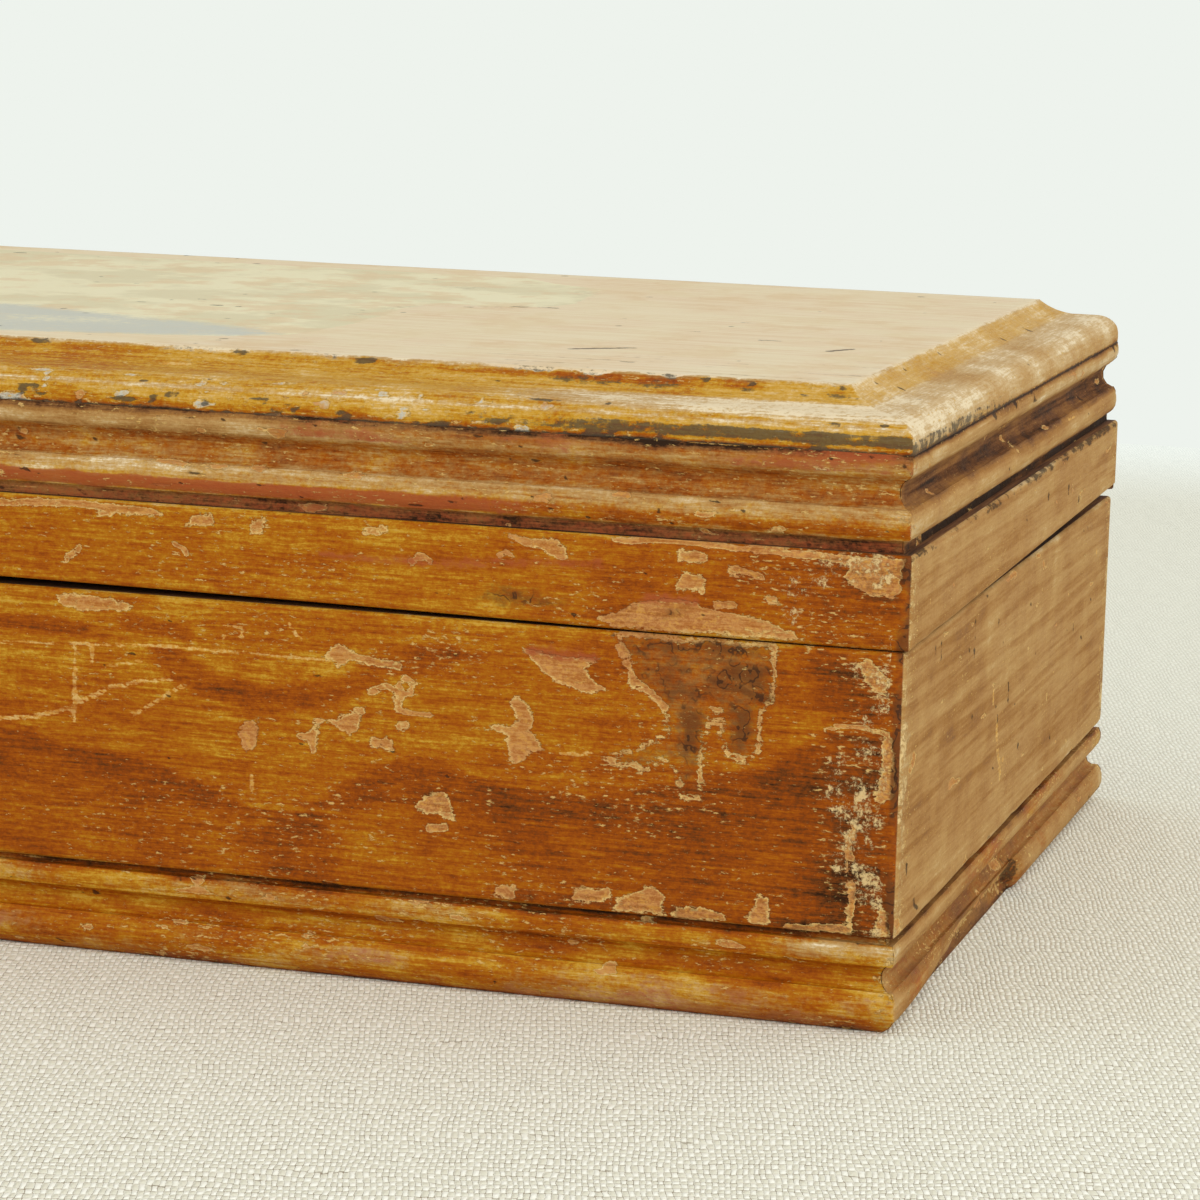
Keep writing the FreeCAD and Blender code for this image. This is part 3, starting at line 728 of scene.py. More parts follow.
def aged_wood(name, axis, rings=0.0, faded=False, fibre=1.0):
    """Old varnished softwood with the grain along an axis, worn as the mesh's masks say.

    tone is dark to pale, with painted shade in places; worn is varnished to bare, crazed is how
    thickly pale flecks lie, chip is flaked varnish, scratch is a fine bare line, red is a red
    stain, knot is the dark of knots and dark marks and of a corner edge with painted shade, and
    grime is dirt. A faded top also has flat, its bare flat, patch, the pale patch on that, and
    band, the grey in the patch. rings is how dark the rings of the grain stand out, fibre how
    strong its fibres are.
    """
    wood = OldWood(name, axis)
    patterns = (
        (wood.figure, 0.3),
        (wood.streaks, 0.5 * fibre),
        (wood.fibres, 0.7 * fibre),
        (wood.mottle, 0.5),
        (wood.grit, 0.55 * fibre),
    )
    tone = wood.varied(wood.mask("tone"), patterns)
    if rings:
        ring = wood.grain(60, 2.0, 14.2, 2, 0.5, 0.5)
        tone = tone - wood.span(ring, 0.46, 0.6, 0, rings)
    bare = wood.span(wood.frayed("worn"), 0.25, 0.75)
    colour = wood.mix(bare, wood.ramp(tone, VARNISH), wood.ramp(tone, WORN))
    if faded:
        colour = faded_top(wood, colour)
    colour = scratched(wood, colour)
    colour, chips = flaked(wood, colour, faded)
    colour = wood.wash(colour, STAIN, wood.frayed("red"), 0.3, 0.75, 0.85)
    colour = knotted(wood, colour, faded)
    colour, flecks = flecked(wood, colour)
    dirty = wood.span(wood.frayed("grime"), 0.48, 0.72, 0, 0.8)
    colour = wood.mix(dirty, colour, SOOT if faded else DIRT)
    dull = wood.math("MAXIMUM", chips, wood.math("MAXIMUM", bare, dirty))
    roughness = wood.span(wood.mottle, 0.3, 0.7, 0.4, 0.58) + dull * 0.28
    relief = wood.fibres * 0.4 + wood.fine * 0.6 - chips * 0.5 + flecks * 0.3 - dirty * 0.6
    inputs = {
        "Base Color": colour,
        "Roughness": roughness,
        "Specular IOR Level": VARNISH_SHINE,
    }
    return wood.finish(inputs, relief, 0.2)


def plain_wood(name, axis, tone):
    """Unfinished softwood, tan with age inside the box or dark in its joints."""
    wood = Shader(name, axis)
    fibres = wood.grain(5, 0.25, 8.1, 3, 0.7)
    patterns = (
        (wood.grain(60, 5, 2.3, 2, 0.5, 0.5), 0.5),
        (wood.grain(24, 0.8, 4.7, 4, 0.6), 0.6),
        (fibres, 0.3),
    )
    inputs = {
        "Base Color": wood.ramp(wood.varied(tone, patterns, clamp=True), WORN),
        "Roughness": WOOD_ROUGHNESS,
        "Specular IOR Level": WOOD_SHINE,
    }
    return wood.finish(inputs, fibres, 0.06)


def old_metal(name, colour, tarnish, spots):
    """Tarnished metal with darker spots."""
    metal = Shader(name)
    stains = metal.noise((3, 3, 3), 2.0, 4, 0.6)
    fine = metal.noise((0.5, 0.5, 0.5), 6.0, 3, 0.6)
    colour = metal.wash(colour, tarnish, stains, 0.38, 0.68)
    inputs = {
        "Base Color": metal.wash(colour, spots, fine, 0.6, 0.75, 0.7),
        "Metallic": 0.85,
        "Roughness": metal.span(stains, 0.3, 0.7, 0.4, 0.65),
    }
    return metal.finish(inputs, fine, 0.03)


# Wear of the front board, the rim above it and the top, in millimetres of
# the box: the first number of a place is X; the second is Z on the front and Y on the top.
# A patch is a list of its corners; a line is (path, width).
FRONT_PATCHES = [
    [(52.6, 27.4), (53.5, 28.8), (55.2, 29.5), (55.4, 28), (54.9, 26), (54.2, 25.2)],
    [(60, 27), (62.7, 27.6), (62.5, 28.6), (60.2, 28.2)],
    [(63.2, 29.9), (64.5, 29.6), (65.9, 28.3), (67.4, 28.8), (68.3, 31.9), (66.3, 31.2)],
    [(68.6, 27.3), (71.6, 27), (71.3, 28.6), (69.2, 28.4)],
    [(71.6, 31.8), (72.6, 32), (72.4, 33.5), (71.4, 33.3)],
    [(72, 29.4), (73.8, 29.8), (73.4, 30.8), (72.2, 30.6)],
    [(63, 37.2), (64.5, 39), (66, 38.6), (66.3, 37.2), (65.3, 36), (64, 36.8)],
    [(74, 20.7), (75.5, 22.2), (77, 23), (78.3, 22.4), (78.9, 19.6), (77.6, 20.2), (76.4, 20.2)],
    [
        (82, 30.7), (84.9, 30.3), (84.9, 29), (85.3, 26.8), (86.8, 27.4), (87.5, 28.3),
        (89.2, 28.6), (89, 29.4), (87.7, 30.8), (88, 32), (87.8, 33.4), (86.3, 34.6),
        (85.2, 33.8), (86, 32.5), (85.5, 31.2), (83.5, 31.2),
    ],
    [
        (86.5, 40), (89, 37.6), (91, 36.4), (94.5, 35.4), (96.3, 35.9), (94, 38),
        (95.9, 39.3), (91, 39.6),
    ],
    [(83.8, 11.3), (86.5, 11.2), (86.3, 12.8), (84, 12.5)],
    [(92.5, 11.8), (95, 11.5), (98, 12.6), (97.6, 13.8), (93.5, 13.2)],
    [(97.4, 11), (103.6, 11.2), (104, 13.4), (102.4, 14.5), (99, 12.6)],
    [(104.5, 11), (110.8, 11), (110.2, 12.4), (105, 12.6)],
    [(113.5, 11.2), (116, 11.4), (115.6, 15), (114, 14.4)],
    [(127.0, 25), (129.0, 27), (129.2, 33), (128.2, 34.5), (127.6, 30)],
    [(127.4, 10.8), (129.2, 11), (129, 13.4), (128, 14.5)],
    [(124.8, 41), (126.4, 38.6), (128.4, 37.4), (128.2, 40), (126, 42)],
    [(31, 40.7), (34, 40.2), (40, 41), (39.6, 41.9), (33, 42.2), (30.4, 42)],
]
# The bare wood round the knot, and what is dark in it.
KNOT_PATCH = [
    (97.5, 42.5), (115.3, 42.5), (115.2, 36.5), (113.9, 34.5), (114.4, 31), (112.8, 29.4),
    (110.5, 30), (109.6, 32.5), (109.3, 35), (108.3, 35), (108, 32), (107.6, 29.5),
    (107.7, 26.3), (107.5, 24.6), (105.6, 24.8), (104.6, 28), (103, 28.8), (101, 27),
    (100.4, 28), (98.5, 27.8), (96.5, 28.2), (103.5, 31.5), (103.2, 34.5), (101, 36.5),
    (99.3, 37), (99.5, 39.5), (97.8, 41.2),
]
KNOT_DARKS = [
    [(105.2, 35.5), (104.6, 33), (105.2, 29.8), (106.6, 29), (107.5, 31), (107.2, 34.6)],
    [(109, 37.6), (115, 37.2), (115, 40.3), (111, 40.6), (109.4, 39.4)],
    [(110.6, 35.8), (110.8, 32), (112, 30.8), (113.4, 32), (113, 35.4)],
    [(100, 40.9), (115, 41), (115, 42.4), (101, 42.3)],
]
KNOT_CRACK = [(108.5, 38.3), (110, 37.5), (112, 37.3), (113.5, 36.6), (115, 36.6)]
FRONT_LINES = [
    ([(61.8, 26.5), (62.3, 30)], 0.8),
    ([(71.6, 34.2), (72.8, 35.8), (74, 35), (73.4, 33.8), (72, 33.7)], 0.8),
    ([(69, 33.6), (70.6, 34.6)], 0.8),
    ([(72, 32), (76, 31.6)], 0.6),
    ([(66, 37.5), (68, 37.2), (72, 36.8)], 0.9),
    ([(76, 18.6), (78, 18.8)], 0.9),
    ([(124.4, 11), (124.9, 15), (124.3, 19), (124.7, 23)], 0.8),
    ([(121, 33.6), (124, 34.3), (128, 34)], 0.5),
    ([(118, 11.2), (124, 11.6)], 0.9),
    ([(97.8, 41), (99.4, 38), (101.2, 36.6), (103, 34.8)], 0.7),
]
RIM_PATCHES = [
    [(35.5, 51.5), (42, 51.8), (41.6, 52.7), (36, 52.6)],
    [(46, 51), (50, 51.2), (49.6, 52.6), (46.6, 52.2)],
    [(54, 50.6), (56, 50.9), (55.7, 52.4), (54.3, 52)],
    [(67.5, 51.5), (70.5, 51.8), (70.2, 52.6), (68, 52.4)],
    [
        (84, 52.8), (90.5, 52.4), (91.8, 50.6), (90.8, 49.9), (89.3, 50.5), (88, 51.3),
        (86.5, 51.6),
    ],
    [
        (95, 44.3), (100, 46), (104, 46.8), (107, 46.4), (110, 45.7), (114, 45),
        (117, 44), (118.5, 43.2), (97, 43.1),
    ],
    [(103.8, 47.4), (105.4, 48.2), (107.6, 47.6), (107.2, 49.6), (104.4, 50)],
    [(104, 50.7), (107.3, 51), (107, 52.2), (104.4, 52)],
    [(109.5, 49.7), (111.5, 49.6), (111.3, 51), (109.9, 50.8)],
    [(114, 46.7), (115.8, 46.9), (115.5, 48), (114.3, 47.8)],
    [(122.8, 50.4), (125.6, 48.8), (128.6, 48.4), (129.6, 53), (124, 53)],
]
RIM_LINES = [
    ([(20, 52.4), (32, 52.6), (43, 52.2)], 0.8),
    ([(31.4, 46), (33.4, 47.6)], 0.9),
    ([(45, 49), (46.4, 48.4), (46.8, 46.2)], 0.6),
    ([(73.3, 48.6), (74.4, 49.6), (75.6, 49)], 0.8),
    ([(97, 52.8), (103, 53.2), (112, 52.9), (127, 52.5)], 0.8),
    ([(111.8, 50), (114, 50.1)], 0.7),
    ([(109, 46.6), (111, 46.4)], 0.8),
    ([(83.6, 50.2), (84.3, 50.9), (84.8, 50.3)], 0.6),
]
RIM_DARKS = [
    [(81, 45.2), (87, 44.8), (92, 45.6), (88, 46.6), (83, 46.8)],
    [(103, 44.6), (105, 44.8), (105.2, 45.8), (103.2, 45.6)],
]
RIM_REDS = [
    [(100, 46.3), (107, 46.2), (106.4, 47.2), (101, 47.2)],
    [(62, 48.4), (74, 48.5), (96, 49.8), (95.6, 50.4), (74, 49), (62, 48.9)],
]
FRONT_REDS = [
    [(86.8, 39.3), (95.6, 39), (95.4, 40), (87.4, 40.6)],
]
FRONT_SCRATCHES = [
    ([(20, 27), (24, 26.9), (28, 27.6), (32.5, 28.9), (35, 30.5), (37, 31.6), (41, 32.7)], 0.9),
    ([(41, 32.7), (45, 33.3)], 0.7),
    ([(33, 36), (32.6, 32), (32.8, 29.5), (32.2, 27)], 0.9),
    ([(35, 36), (34.4, 33.8)], 0.8),
    ([(39.5, 31.6), (39.6, 27)], 0.6),
    ([(39.8, 28.6), (42.5, 30.3), (46.2, 32.6)], 0.8),
    ([(36.5, 34), (41, 35)], 0.6),
    ([(20, 35.8), (33, 36.4), (45, 37), (51, 37), (60, 36.9), (66, 36.6)], 0.6),
    ([(50.5, 36.6), (50.6, 38.3), (51.4, 39)], 0.8),
    ([(51, 39.9), (53, 40), (53.3, 38.9), (52, 38.4)], 0.6),
    ([(58.6, 41), (60.4, 39)], 0.7),
    ([(38.6, 24.4), (38.9, 22)], 0.6),
    ([(54.6, 22.8), (54.8, 20.8)], 0.6),
    ([(91.3, 28.4), (95, 28.8)], 0.6),
]
# The upper edge of the dark cloud in the varnish, and dark bands above it.
CLOUD_TOP = [
    (-130, 24), (-110, 27), (-92, 25), (-70, 29), (-48, 27.5), (-30, 23), (-12, 24), (5, 28),
    (18, 26.2), (27, 26), (31, 24.4), (37, 24), (43, 23.4), (47, 22.3), (50, 20.6),
    (54, 19.4), (59, 18.6), (62, 19.6), (65, 22.6), (69, 25), (73, 26.3), (76.5, 26.6),
    (80, 25.8), (84, 24.4), (92, 23.8), (99, 24.8), (103, 26.3), (110, 27.2), (114, 28.5),
    (118, 31.6), (122, 33.3), (130, 34),
]
CLOUD_LINES = [
    (
        [(43, 35.8), (46, 34), (50, 32.6), (55, 31.8), (60, 32.3), (66, 34), (70, 36.5),
         (78, 38.5)], 3,
    ),
    ([(22, 38.4), (33, 38.2)], 2.2),
    ([(39, 39.2), (46, 38.8)], 2.2),
]
# Marks on the right end: Y, then Z.
END_SCRATCHES = [
    ([(-15.5, 31), (-14.4, 27)], 0.9),
    ([(-12.5, 26), (-11, 22), (-8.7, 18)], 1.8),
    ([(-7, 20), (-6, 17)], 0.9),
    ([(-33, 26), (-32.6, 23.5)], 0.8),
    ([(-44.3, 24.5), (-44, 22)], 0.8),
    ([(-50.5, 25.5), (-50, 21)], 0.8),
    ([(-57, 23), (-56.6, 20)], 0.8),
    ([(-60, 40), (-59.8, 36)], 1.0),
]
# The pale patch on the lid, the grey of its near edge, its smudged far edge and marks.
TOP_PATCH = [
    (-66, -52), (10, -51.5), (28, -47.4), (43, -43.2), (47.2, -38.9), (49.1, -31.4),
    (49.2, -10.9), (48, -1.6), (50.3, 7.2), (57.6, 5.6), (64.1, 9.4), (65.6, 16.3),
    (64, 35), (50, 47), (-55, 50), (-66, 40),
]
TOP_GREY = [
    (-60, -51.5), (16, -50.6), (28, -47.6), (43, -43.4), (47, -38), (40.7, -32.2),
    (29.5, -29.4), (14.8, -24.1), (6.6, -20.3), (-20, -22), (-60, -30),
]
TOP_SMUDGE = [(46, -12), (47, -2), (51, 6), (57, 6), (64, 10), (66, 18), (63, 32)]
TOP_MARKS = [
    ([(82, -36), (88, -31.5)], 1.2),
    ([(109.5, -24), (112, -19.5)], 1.0),
    ([(60, 8), (66, 9)], 0.9),
]
# By height over the underside: tone of the long sides, bareness, tone of the ends.
LONG_TONE, BARENESS, END_TONE = 1, 2, 3
BASE_BANDS = (
    # The dark at the bottom edge is a painted shadow line.
    (0.0, 0.28, 0.1, 0.3),
    (0.6, 0.5, 0.2, 0.58),
    (2.0, 0.58, 0.25, 0.64),
    (4.1, 0.59, 0.25, 0.62),
    (4.5, 0.5, 0.05, 0.5),
    (6.6, 0.54, 0.05, 0.52),
    # The dark just under the bead is a painted shadow.
    (7.2, 0.44, 0.05, 0.42),
    (7.6, 0.58, 0.2, 0.6),
    (8.4, 0.65, 0.25, 0.66),
    (9.6, 0.62, 0.25, 0.68),
    (10.0, 0.46, 0.15, 0.45),
    # The dark of the groove under the body board is dirt with painted shade.
    (10.3, 0.2, 0.1, 0.18),
    (10.9, 0.17, 0.1, 0.14),
)
CORNICE_BANDS = (
    # The dark of the groove under the bead is dirt with painted shade.
    (0.0, 0.18, 0.8, 0.06),
    (0.7, 0.22, 0.8, 0.05),
    (1.2, 0.24, 0.6, 0.1),
    (1.5, 0.76, 0.5, 0.7),
    (1.8, 0.52, 0.25, 0.72),
    (2.8, 0.58, 0.3, 0.76),
    (3.4, 0.72, 0.55, 0.76),
    (4.4, 0.76, 0.65, 0.5),
    (4.7, 0.78, 0.8, 0.32),
    (5.0, 0.5, 0.48, 0.22),
    (6.4, 0.57, 0.46, 0.2),
    (7.9, 0.48, 0.46, 0.34),
    (8.4, 0.6, 0.55, 0.76),
    (9.2, 0.7, 0.6, 0.84),
    (10.1, 0.56, 0.5, 0.78),
    (10.5, 0.2, 0.8, 0.2),
    (10.8, 0.1, 0.8, 0.1),
)
TOP_BANDS = (
    (0.0, 0.12, 0.8, 0.2),
    (0.4, 0.66, 0.2, 0.76),
    (1.4, 0.77, 0.25, 0.86),
    (2.3, 0.81, 0.3, 0.9),
    (2.6, 0.9, 0.75, 0.94),
    (2.9, 0.78, 0.3, 0.91),
    (3.8, 0.76, 0.35, 0.9),
    (4.1, 0.74, 0.08, 0.86),
    (5.4, 0.76, 0.08, 0.88),
    (6.0, 0.86, 0.6, 0.93),
    (6.2, 1.0, 1.0, 1.0),
)


# The photograph shows the front from this X to the right; left of it wear is scattered.
PHOTO_LEFT = 18
# Points this near to a face that meets another piece aren't worn.
JOINT_MARGIN = 0.05


# Masks of wear, with painted shade in some of them. Each is a number per point that the
# materials read; dent is how far a point is worn inward, in millimetres. ragged, coarse and fine
# are noises from 0 to 1.
def front_marks(x, z, world, is_rim):
    """The marks of the front: flaked, scratched, dark, red, clouded, crazed and bare places."""
    shift_u, shift_v = ragged_place(world, 0.7, (3, 3, 2), 3)
    u, v = x + shift_u, z + 0.7 * shift_v
    mixed = 0.5 + layered_noise(world, (1.6, 1.6, 1.2), 9)
    if is_rim:
        chip = strongest(patches(u, v, RIM_PATCHES, 0.8), lines(u, v, RIM_LINES))
        dark = 0.8 * mixed * patches(u, v, RIM_DARKS, 1.2)
        near = 0.9 * patches(u, v, RIM_PATCHES, 4) - 0.7 * chip
        red = patches(u, v, RIM_REDS)
        return dict(chip=chip, scratch=0, knot=dark, red=red, cloud=0, bare=0, near=near)
    # Round the knot the varnish has worn thin inside a flaked outline.
    outline = 0.66 * (1 - np.abs(2 * region(u, v, KNOT_PATCH, 1.2) - 1))
    chip = strongest(patches(u, v, FRONT_PATCHES, 0.8), outline, lines(u, v, FRONT_LINES))
    bare = region(u, v, KNOT_PATCH, 2.0)
    dark = mixed * patches(u, v, KNOT_DARKS, 1.2)
    slow_u, slow_v = ragged_place(world, 1.2, (9, 9, 5), 8)
    edge = np.array(CLOUD_TOP)
    under = np.interp(x + slow_u, edge[:, 0], edge[:, 1]) - z + 0.6 * slow_v
    cloud = ease(under, -0.4, 0.5) * (1 - 0.6 * ease(under, 0.5, 11))
    bands = lines(x + slow_u, z + 0.4 * slow_v, CLOUD_LINES)
    return dict(
        chip=chip,
        scratch=lines(x + 0.3 * shift_u, z + 0.3 * shift_v, FRONT_SCRATCHES, 0.85),
        knot=strongest(dark, (mixed - 0.5) * bare, stroke(x, z, KNOT_CRACK, 1.0)),
        red=strongest(patches(u, v, FRONT_REDS), 0.2 * bare),
        cloud=strongest(cloud, 1.15 * ease(bands, 0.25, 0.75)),
        bare=bare,
        near=0.9 * patches(u, v, FRONT_PATCHES + [KNOT_PATCH], 4) - chip,
    )


def front_board(world, is_rim, ragged, rubbed, crazed):
    """Wear of the front's body board or rim board, with painted shade along the body board's
    foot and down the right arris.
    """
    x, z = world[..., X], world[..., Z]
    unseen = x < PHOTO_LEFT
    marks = front_marks(x, z, world, is_rim)
    crazed = strongest(crazed * (0.4 + 0.6 * ease(x, 20, 80)), marks["near"])
    flaky = layered_noise(world, (7, 7, 8), 44)
    crackled = ease(x + (flaky - 0.5) * 18, 115, 126) * ease(flaky + ragged, 0.55, 1.1)
    crazed = strongest(crazed, 1.1 * crackled) * fade(x, 128.4, 129)
    # A dark line down the right arris: the varnish's dark edge, with painted shade on the
    # corner's turn.
    dark_arris_and_shade = ease(x, 128.3, 129.1) * ease(layered_noise(world, (3, 3, 4), 33), 0.2, 0.6)
    tone = 0.515 - 0.18 * marks["cloud"] - 0.07 * ease(x, 80, 100) - 0.07 * ease(x, 112, 124)
    tone = tone - 0.14 * ease(x, 116, 124) * ease(ragged, 0.2, 0.7)
    if is_rim:
        tone = tone + 0.02
    else:
        # Darker along the board's foot towards the right, above its joint with the base: grime
        # and painted shade.
        foot_grime_and_shade = fade(z - BODY_BOTTOM, 0.4, 2.4)
        tone = tone + 0.04 * ease(z, 20, 34) - 0.16 * ease(x, 60, 110) * foot_grime_and_shade
    return dict(
        tone=tone,
        worn=strongest(0.35 * rubbed, 0.45 * marks["bare"]),
        crazed=crazed * (1 - 0.8 * marks["bare"]),
        red=marks["red"],
        chip=strongest(marks["chip"], speckle(world, (3.2, 3, 1.6), 0.02, 31) * unseen),
        scratch=strongest(marks["scratch"], speckle(world, (9, 3, 0.7), 0.01, 38) * unseen),
        knot=strongest(marks["knot"], 0.9 * dark_arris_and_shade),
        grime=0,
    )


def back_board(world, crazed):
    """Wear of the back's body board or rim board."""
    return dict(
        tone=0.55 + 0.16 * waver(world, (40, 20, 14), 34),
        worn=0.125 + 0.5 * layered_noise(world, (22, 9, 9), 35),
        crazed=crazed,
        red=0.4 * speckle(world, (14, 9, 6), 0.06, 36),
        chip=speckle(world, (5, 4, 2.2), 0.03, 32),
        scratch=speckle(world, (12, 3, 0.7), 0.008, 37),
        knot=0,
        grime=0,
    )


def end_board(side, world, is_rim, to_corner, crazed):
    """Wear of an end's body board or rim board: bare wood with scratches and dark pits."""
    z = world[..., Z]
    scratch = speckle(world, (2.0, 1.2, 3.5), 0.03, 37) * fade(to_corner, 8, 20)
    if side == "right":
        scratch = strongest(scratch, lines(world[..., Y], z, END_SCRATCHES))
    pits = speckle(world, (1.2, 1.0, 3.0), 0.02, 42)
    if is_rim:
        drips = 1.7 * layered_noise(world, (2.2, 2.2, 3), 43) - 0.15
        pits = strongest(pits, drips * fade(z.max() - z, 0.3, 1.9))
    return dict(
        tone=0.65 + 0.18 * waver(world, (9, 16, 9), 34),
        worn=1,
        crazed=0.6 * crazed + 0.9 * fade(to_corner, 1, 7),
        red=0.3 * speckle(world, (9, 9, 4), 0.02, 36),
        chip=speckle(world, (5, 5, 1.6), 0.015, 32),
        scratch=scratch,
        knot=0,
        grime=0.8 * pits,
    )


def board_masks(side, world, along):
    """Wear of a body board or a rim board, with painted shade in places on the front."""
    z = world[..., Z]
    is_rim = z.max() > (BODY_TOP + RIM_TOP) / 2
    to_corner = half_length(side) - np.abs(along)
    ragged = layered_noise(world, (5, 5, 2), 11)
    rubbed = fade(np.minimum(z - z.min(), z.max() - z) + 1.2 * ragged, 0.4, 1.2)
    corner = (1 if side == "back" else 0.3) * fade(to_corner - 3 * ragged, 0, 1.6)
    crazed = 0.1 + 0.6 * ease(layered_noise(world, (14, 14, 7), 31), 0.4, 0.7)
    if side == "front":
        wear = front_board(world, is_rim, ragged, rubbed, crazed)
    elif side == "back":
        wear = back_board(world, crazed)
    else:
        wear = end_board(side, world, is_rim, to_corner, crazed)
    specks = speckle(world, (1.6, 1.5, 0.8), 0.003, 41)
    chip = strongest(wear["chip"], (0.55 * corner + 0.3 * rubbed) * ragged)
    dent = 0.08 * ease(chip, 0.45, 0.6) + 0.3 * rubbed * layered_noise(world, 3, 13) ** 2
    wear["tone"] = wear["tone"] + 0.18 * rubbed + 0.2 * corner
    wear["chip"] = chip
    wear["grime"] = strongest(wear["grime"], specks, 0.4 * rubbed * ragged)
    wear["dent"] = dent + 0.25 * corner * layered_noise(world, 4, 14)
    return wear


def banded(level, bands, column):
    """A mask's value by height over a moulding, from one column of its bands."""
    steps = np.array(bands)
    return np.interp(level, steps[:, 0], steps[:, column])


def base_wear(wear, side, along, height, level, coarse, fine):
    """Add the base's own wear. The result is how far its nose is broken away."""
    raised = strongest(fade(level, 4.0, 4.6), ease(level, 7.6, 8.2))
    wear["worn"] = wear["worn"] + 1.2 * (coarse - 0.45) * raised
    wear["red"] = 0.5 * fade(level, 4.0, 4.6) * ease(coarse, 0.35, 0.75)
    if side != "right":
        return 0
    # The nose is gone up to a notch behind its middle.
    broken = hump(along, -60, -6, 4.5, 6.5) * (0.6 + 0.6 * fine)
    broken = broken * fade(height, 3.6, 5.2) * (height > JOINT_MARGIN)
    notch = hump(along, -1, 2.5, 5.5, 7.5) * (broken > 0.1)
    wear["chip"] = strongest(wear["chip"], 0.55 * ease(broken, 0.2, 0.6))
    wear["grime"] = strongest(wear["grime"], 0.7 * notch)
    return 2.2 * broken


def cornice_wear(wear, side, world, level, coarse, fine):
    """Add the cornice's own wear: crazed and red places, soot in its groove and joint."""
    x = world[..., X]
    soot = 0.75
    crazed = wear["crazed"] * ease(level, 1.2, 2.0)
    if side not in LONG_SIDES:
        crazed = crazed * np.where((level > 4.7) & (level < 8.2), 0, 0.6)
    if side == "front":
        soot = 0.48
        wear["tone"] = wear["tone"] - 0.09 * ease(x, 84, 104)
        wear["worn"] = wear["worn"] + 0.35 * ease(level, 8.0, 8.4) * fade(x, 50, 80)
        white = speckle(world, (8, 4, 0.6), 0.3, 61) * (0.5 + 0.5 * ease(x, 40, 90))
        white = 1.2 * white * hump(level, 8.1, 8.4, 8.8, 9.2)
        crazed = strongest(crazed, white, 0.4 * hump(level, 3.0, 3.6, 8.0, 8.4))
    upper = 0.8 * ease(level, 8.2, 8.8) * ease(coarse, 0.25, 0.65)
    upper = upper * (0.2 + 0.8 * ease(x + (fine - 0.5) * 20, 50, 74))
    lower = hump(level, 1.4, 1.6, 2.8, 3.5) * (0.95 - 0.7 * ease(x, 70, 98))
    dots = speckle(world, (0.9, 0.9, 0.7), 0.3, 60)
    in_groove = fade(level, 1.0, 1.4) * (0.2 + 0.4 * fine + 0.6 * dots)
    in_joint = ease(level, 10.2, 10.7)
    wear["crazed"] = crazed
    wear["red"] = strongest(upper, lower, 0.5 * fade(level, 1.0, 1.4))
    wear["grime"] = strongest(wear["grime"], soot * in_groove, soot * in_joint)


def moulding_masks(side, world, along):
    """Wear of the base moulding or the cornice: grooves dark with dirt and painted shade,
    painted shadow lines along the base's foot and under its bead, rubbed beads and noses.
    """
    is_base = world[..., Z].max() < BODY_TOP
    is_long = side in LONG_SIDES
    bands = BASE_BANDS if is_base else CORNICE_BANDS
    height = world[..., Z] - (0 if is_base else RIM_TOP)
    coarse = layered_noise(world, (11, 11, 3), 51)
    fine = layered_noise(world, (4, 4, 1.5), 52)
    level = height + 0.7 * (fine - 0.5)
    corner = fade(half_length(side) - np.abs(along) - 3 * fine, 0.5, 2.0)
    tone = banded(level, bands, LONG_TONE if is_long else END_TONE) + 0.12 * corner
    tone = tone + (0.3 if side == "front" else 0.18) * (coarse - 0.5)
    if side == "front":
        tone = tone + 0.4 * waver(world, (4, 4, 1.2), 62)
    worn = banded(level, bands, BARENESS)
    wear = dict(
        tone=tone,
        worn=worn if is_long else 0.6 + 0.4 * worn,
        crazed=0.2 + 0.5 * ease(layered_noise(world, (9, 9, 3), 56), 0.4, 0.7),
        chip=strongest(speckle(world, (4.5, 4.5, 1.3), 0.02, 55), 0.4 * corner),
        scratch=0.8 * speckle(world, (9, 9, 0.5), 0.02, 57),
        grime=speckle(world, (1.6, 1.6, 0.7), 0.006 if is_base else 0.016, 58),
    )
    broken = 0
    if is_base:
        broken = base_wear(wear, side, along, height, level, coarse, fine)
    else:
        cornice_wear(wear, side, world, level, coarse, fine)
    if not is_long:
        wear["red"] = 0.3 * wear["red"]
    dent = 0.10 * ease(wear["chip"], 0.45, 0.6) + 0.15 * corner * fine + broken
    dent = dent + 0.06 * ease(layered_noise(world, (7, 7, 3), 59), 0.5, 0.85)
    exposed = (height > JOINT_MARGIN) & (height < height.max() - JOINT_MARGIN)
    wear["dent"] = dent * exposed
    return wear


def top_soot(world, x, y, height, inset, at_front, moulded, ragged, rightward):
    """Soot along the cove's upper edge, thick in places at the right, and on the nose."""
    fine = layered_noise(world, (1.3, 1.3, 1), 63)
    cove = speckle(world, (2.6, 1.2, 1), 0.1, 65) * ease(height, 4.9, 5.6) * moulded
    heavy = hump(x, 76, 90, 120, 128) * hump(height, 4.5, 4.9, 5.3, 5.8) * moulded
    heavy = 0.62 * heavy * ease(ragged, 0.2, 0.6)
    brim = 0.52 * hump(inset, 8.2, 9.6, 10.2, 11.2) * ease(ragged, 0.3, 0.7)
    low = fade(height, 1.6, 2.6)
    specks = 0.9 * speckle(world, (0.9, 0.8, 0.8), 0.16, 64) * low
    smoked = ease(height, 0.5, 0.9) * low * (0.25 + 0.55 * rightward) * (0.7 + 0.6 * ragged)
    elsewhere = (0.3 + 0.35 * fade(y, -45, 10)) * (0.6 + 0.8 * fine) * fade(height, 1.2, 2.2)
    under = 0.75 * fade(height, 0.2, 0.6) * (0.6 + 0.8 * fine)
    in_front = strongest(cove, heavy, brim, specks, smoked)
    return strongest(np.where(at_front, in_front, elsewhere), under)


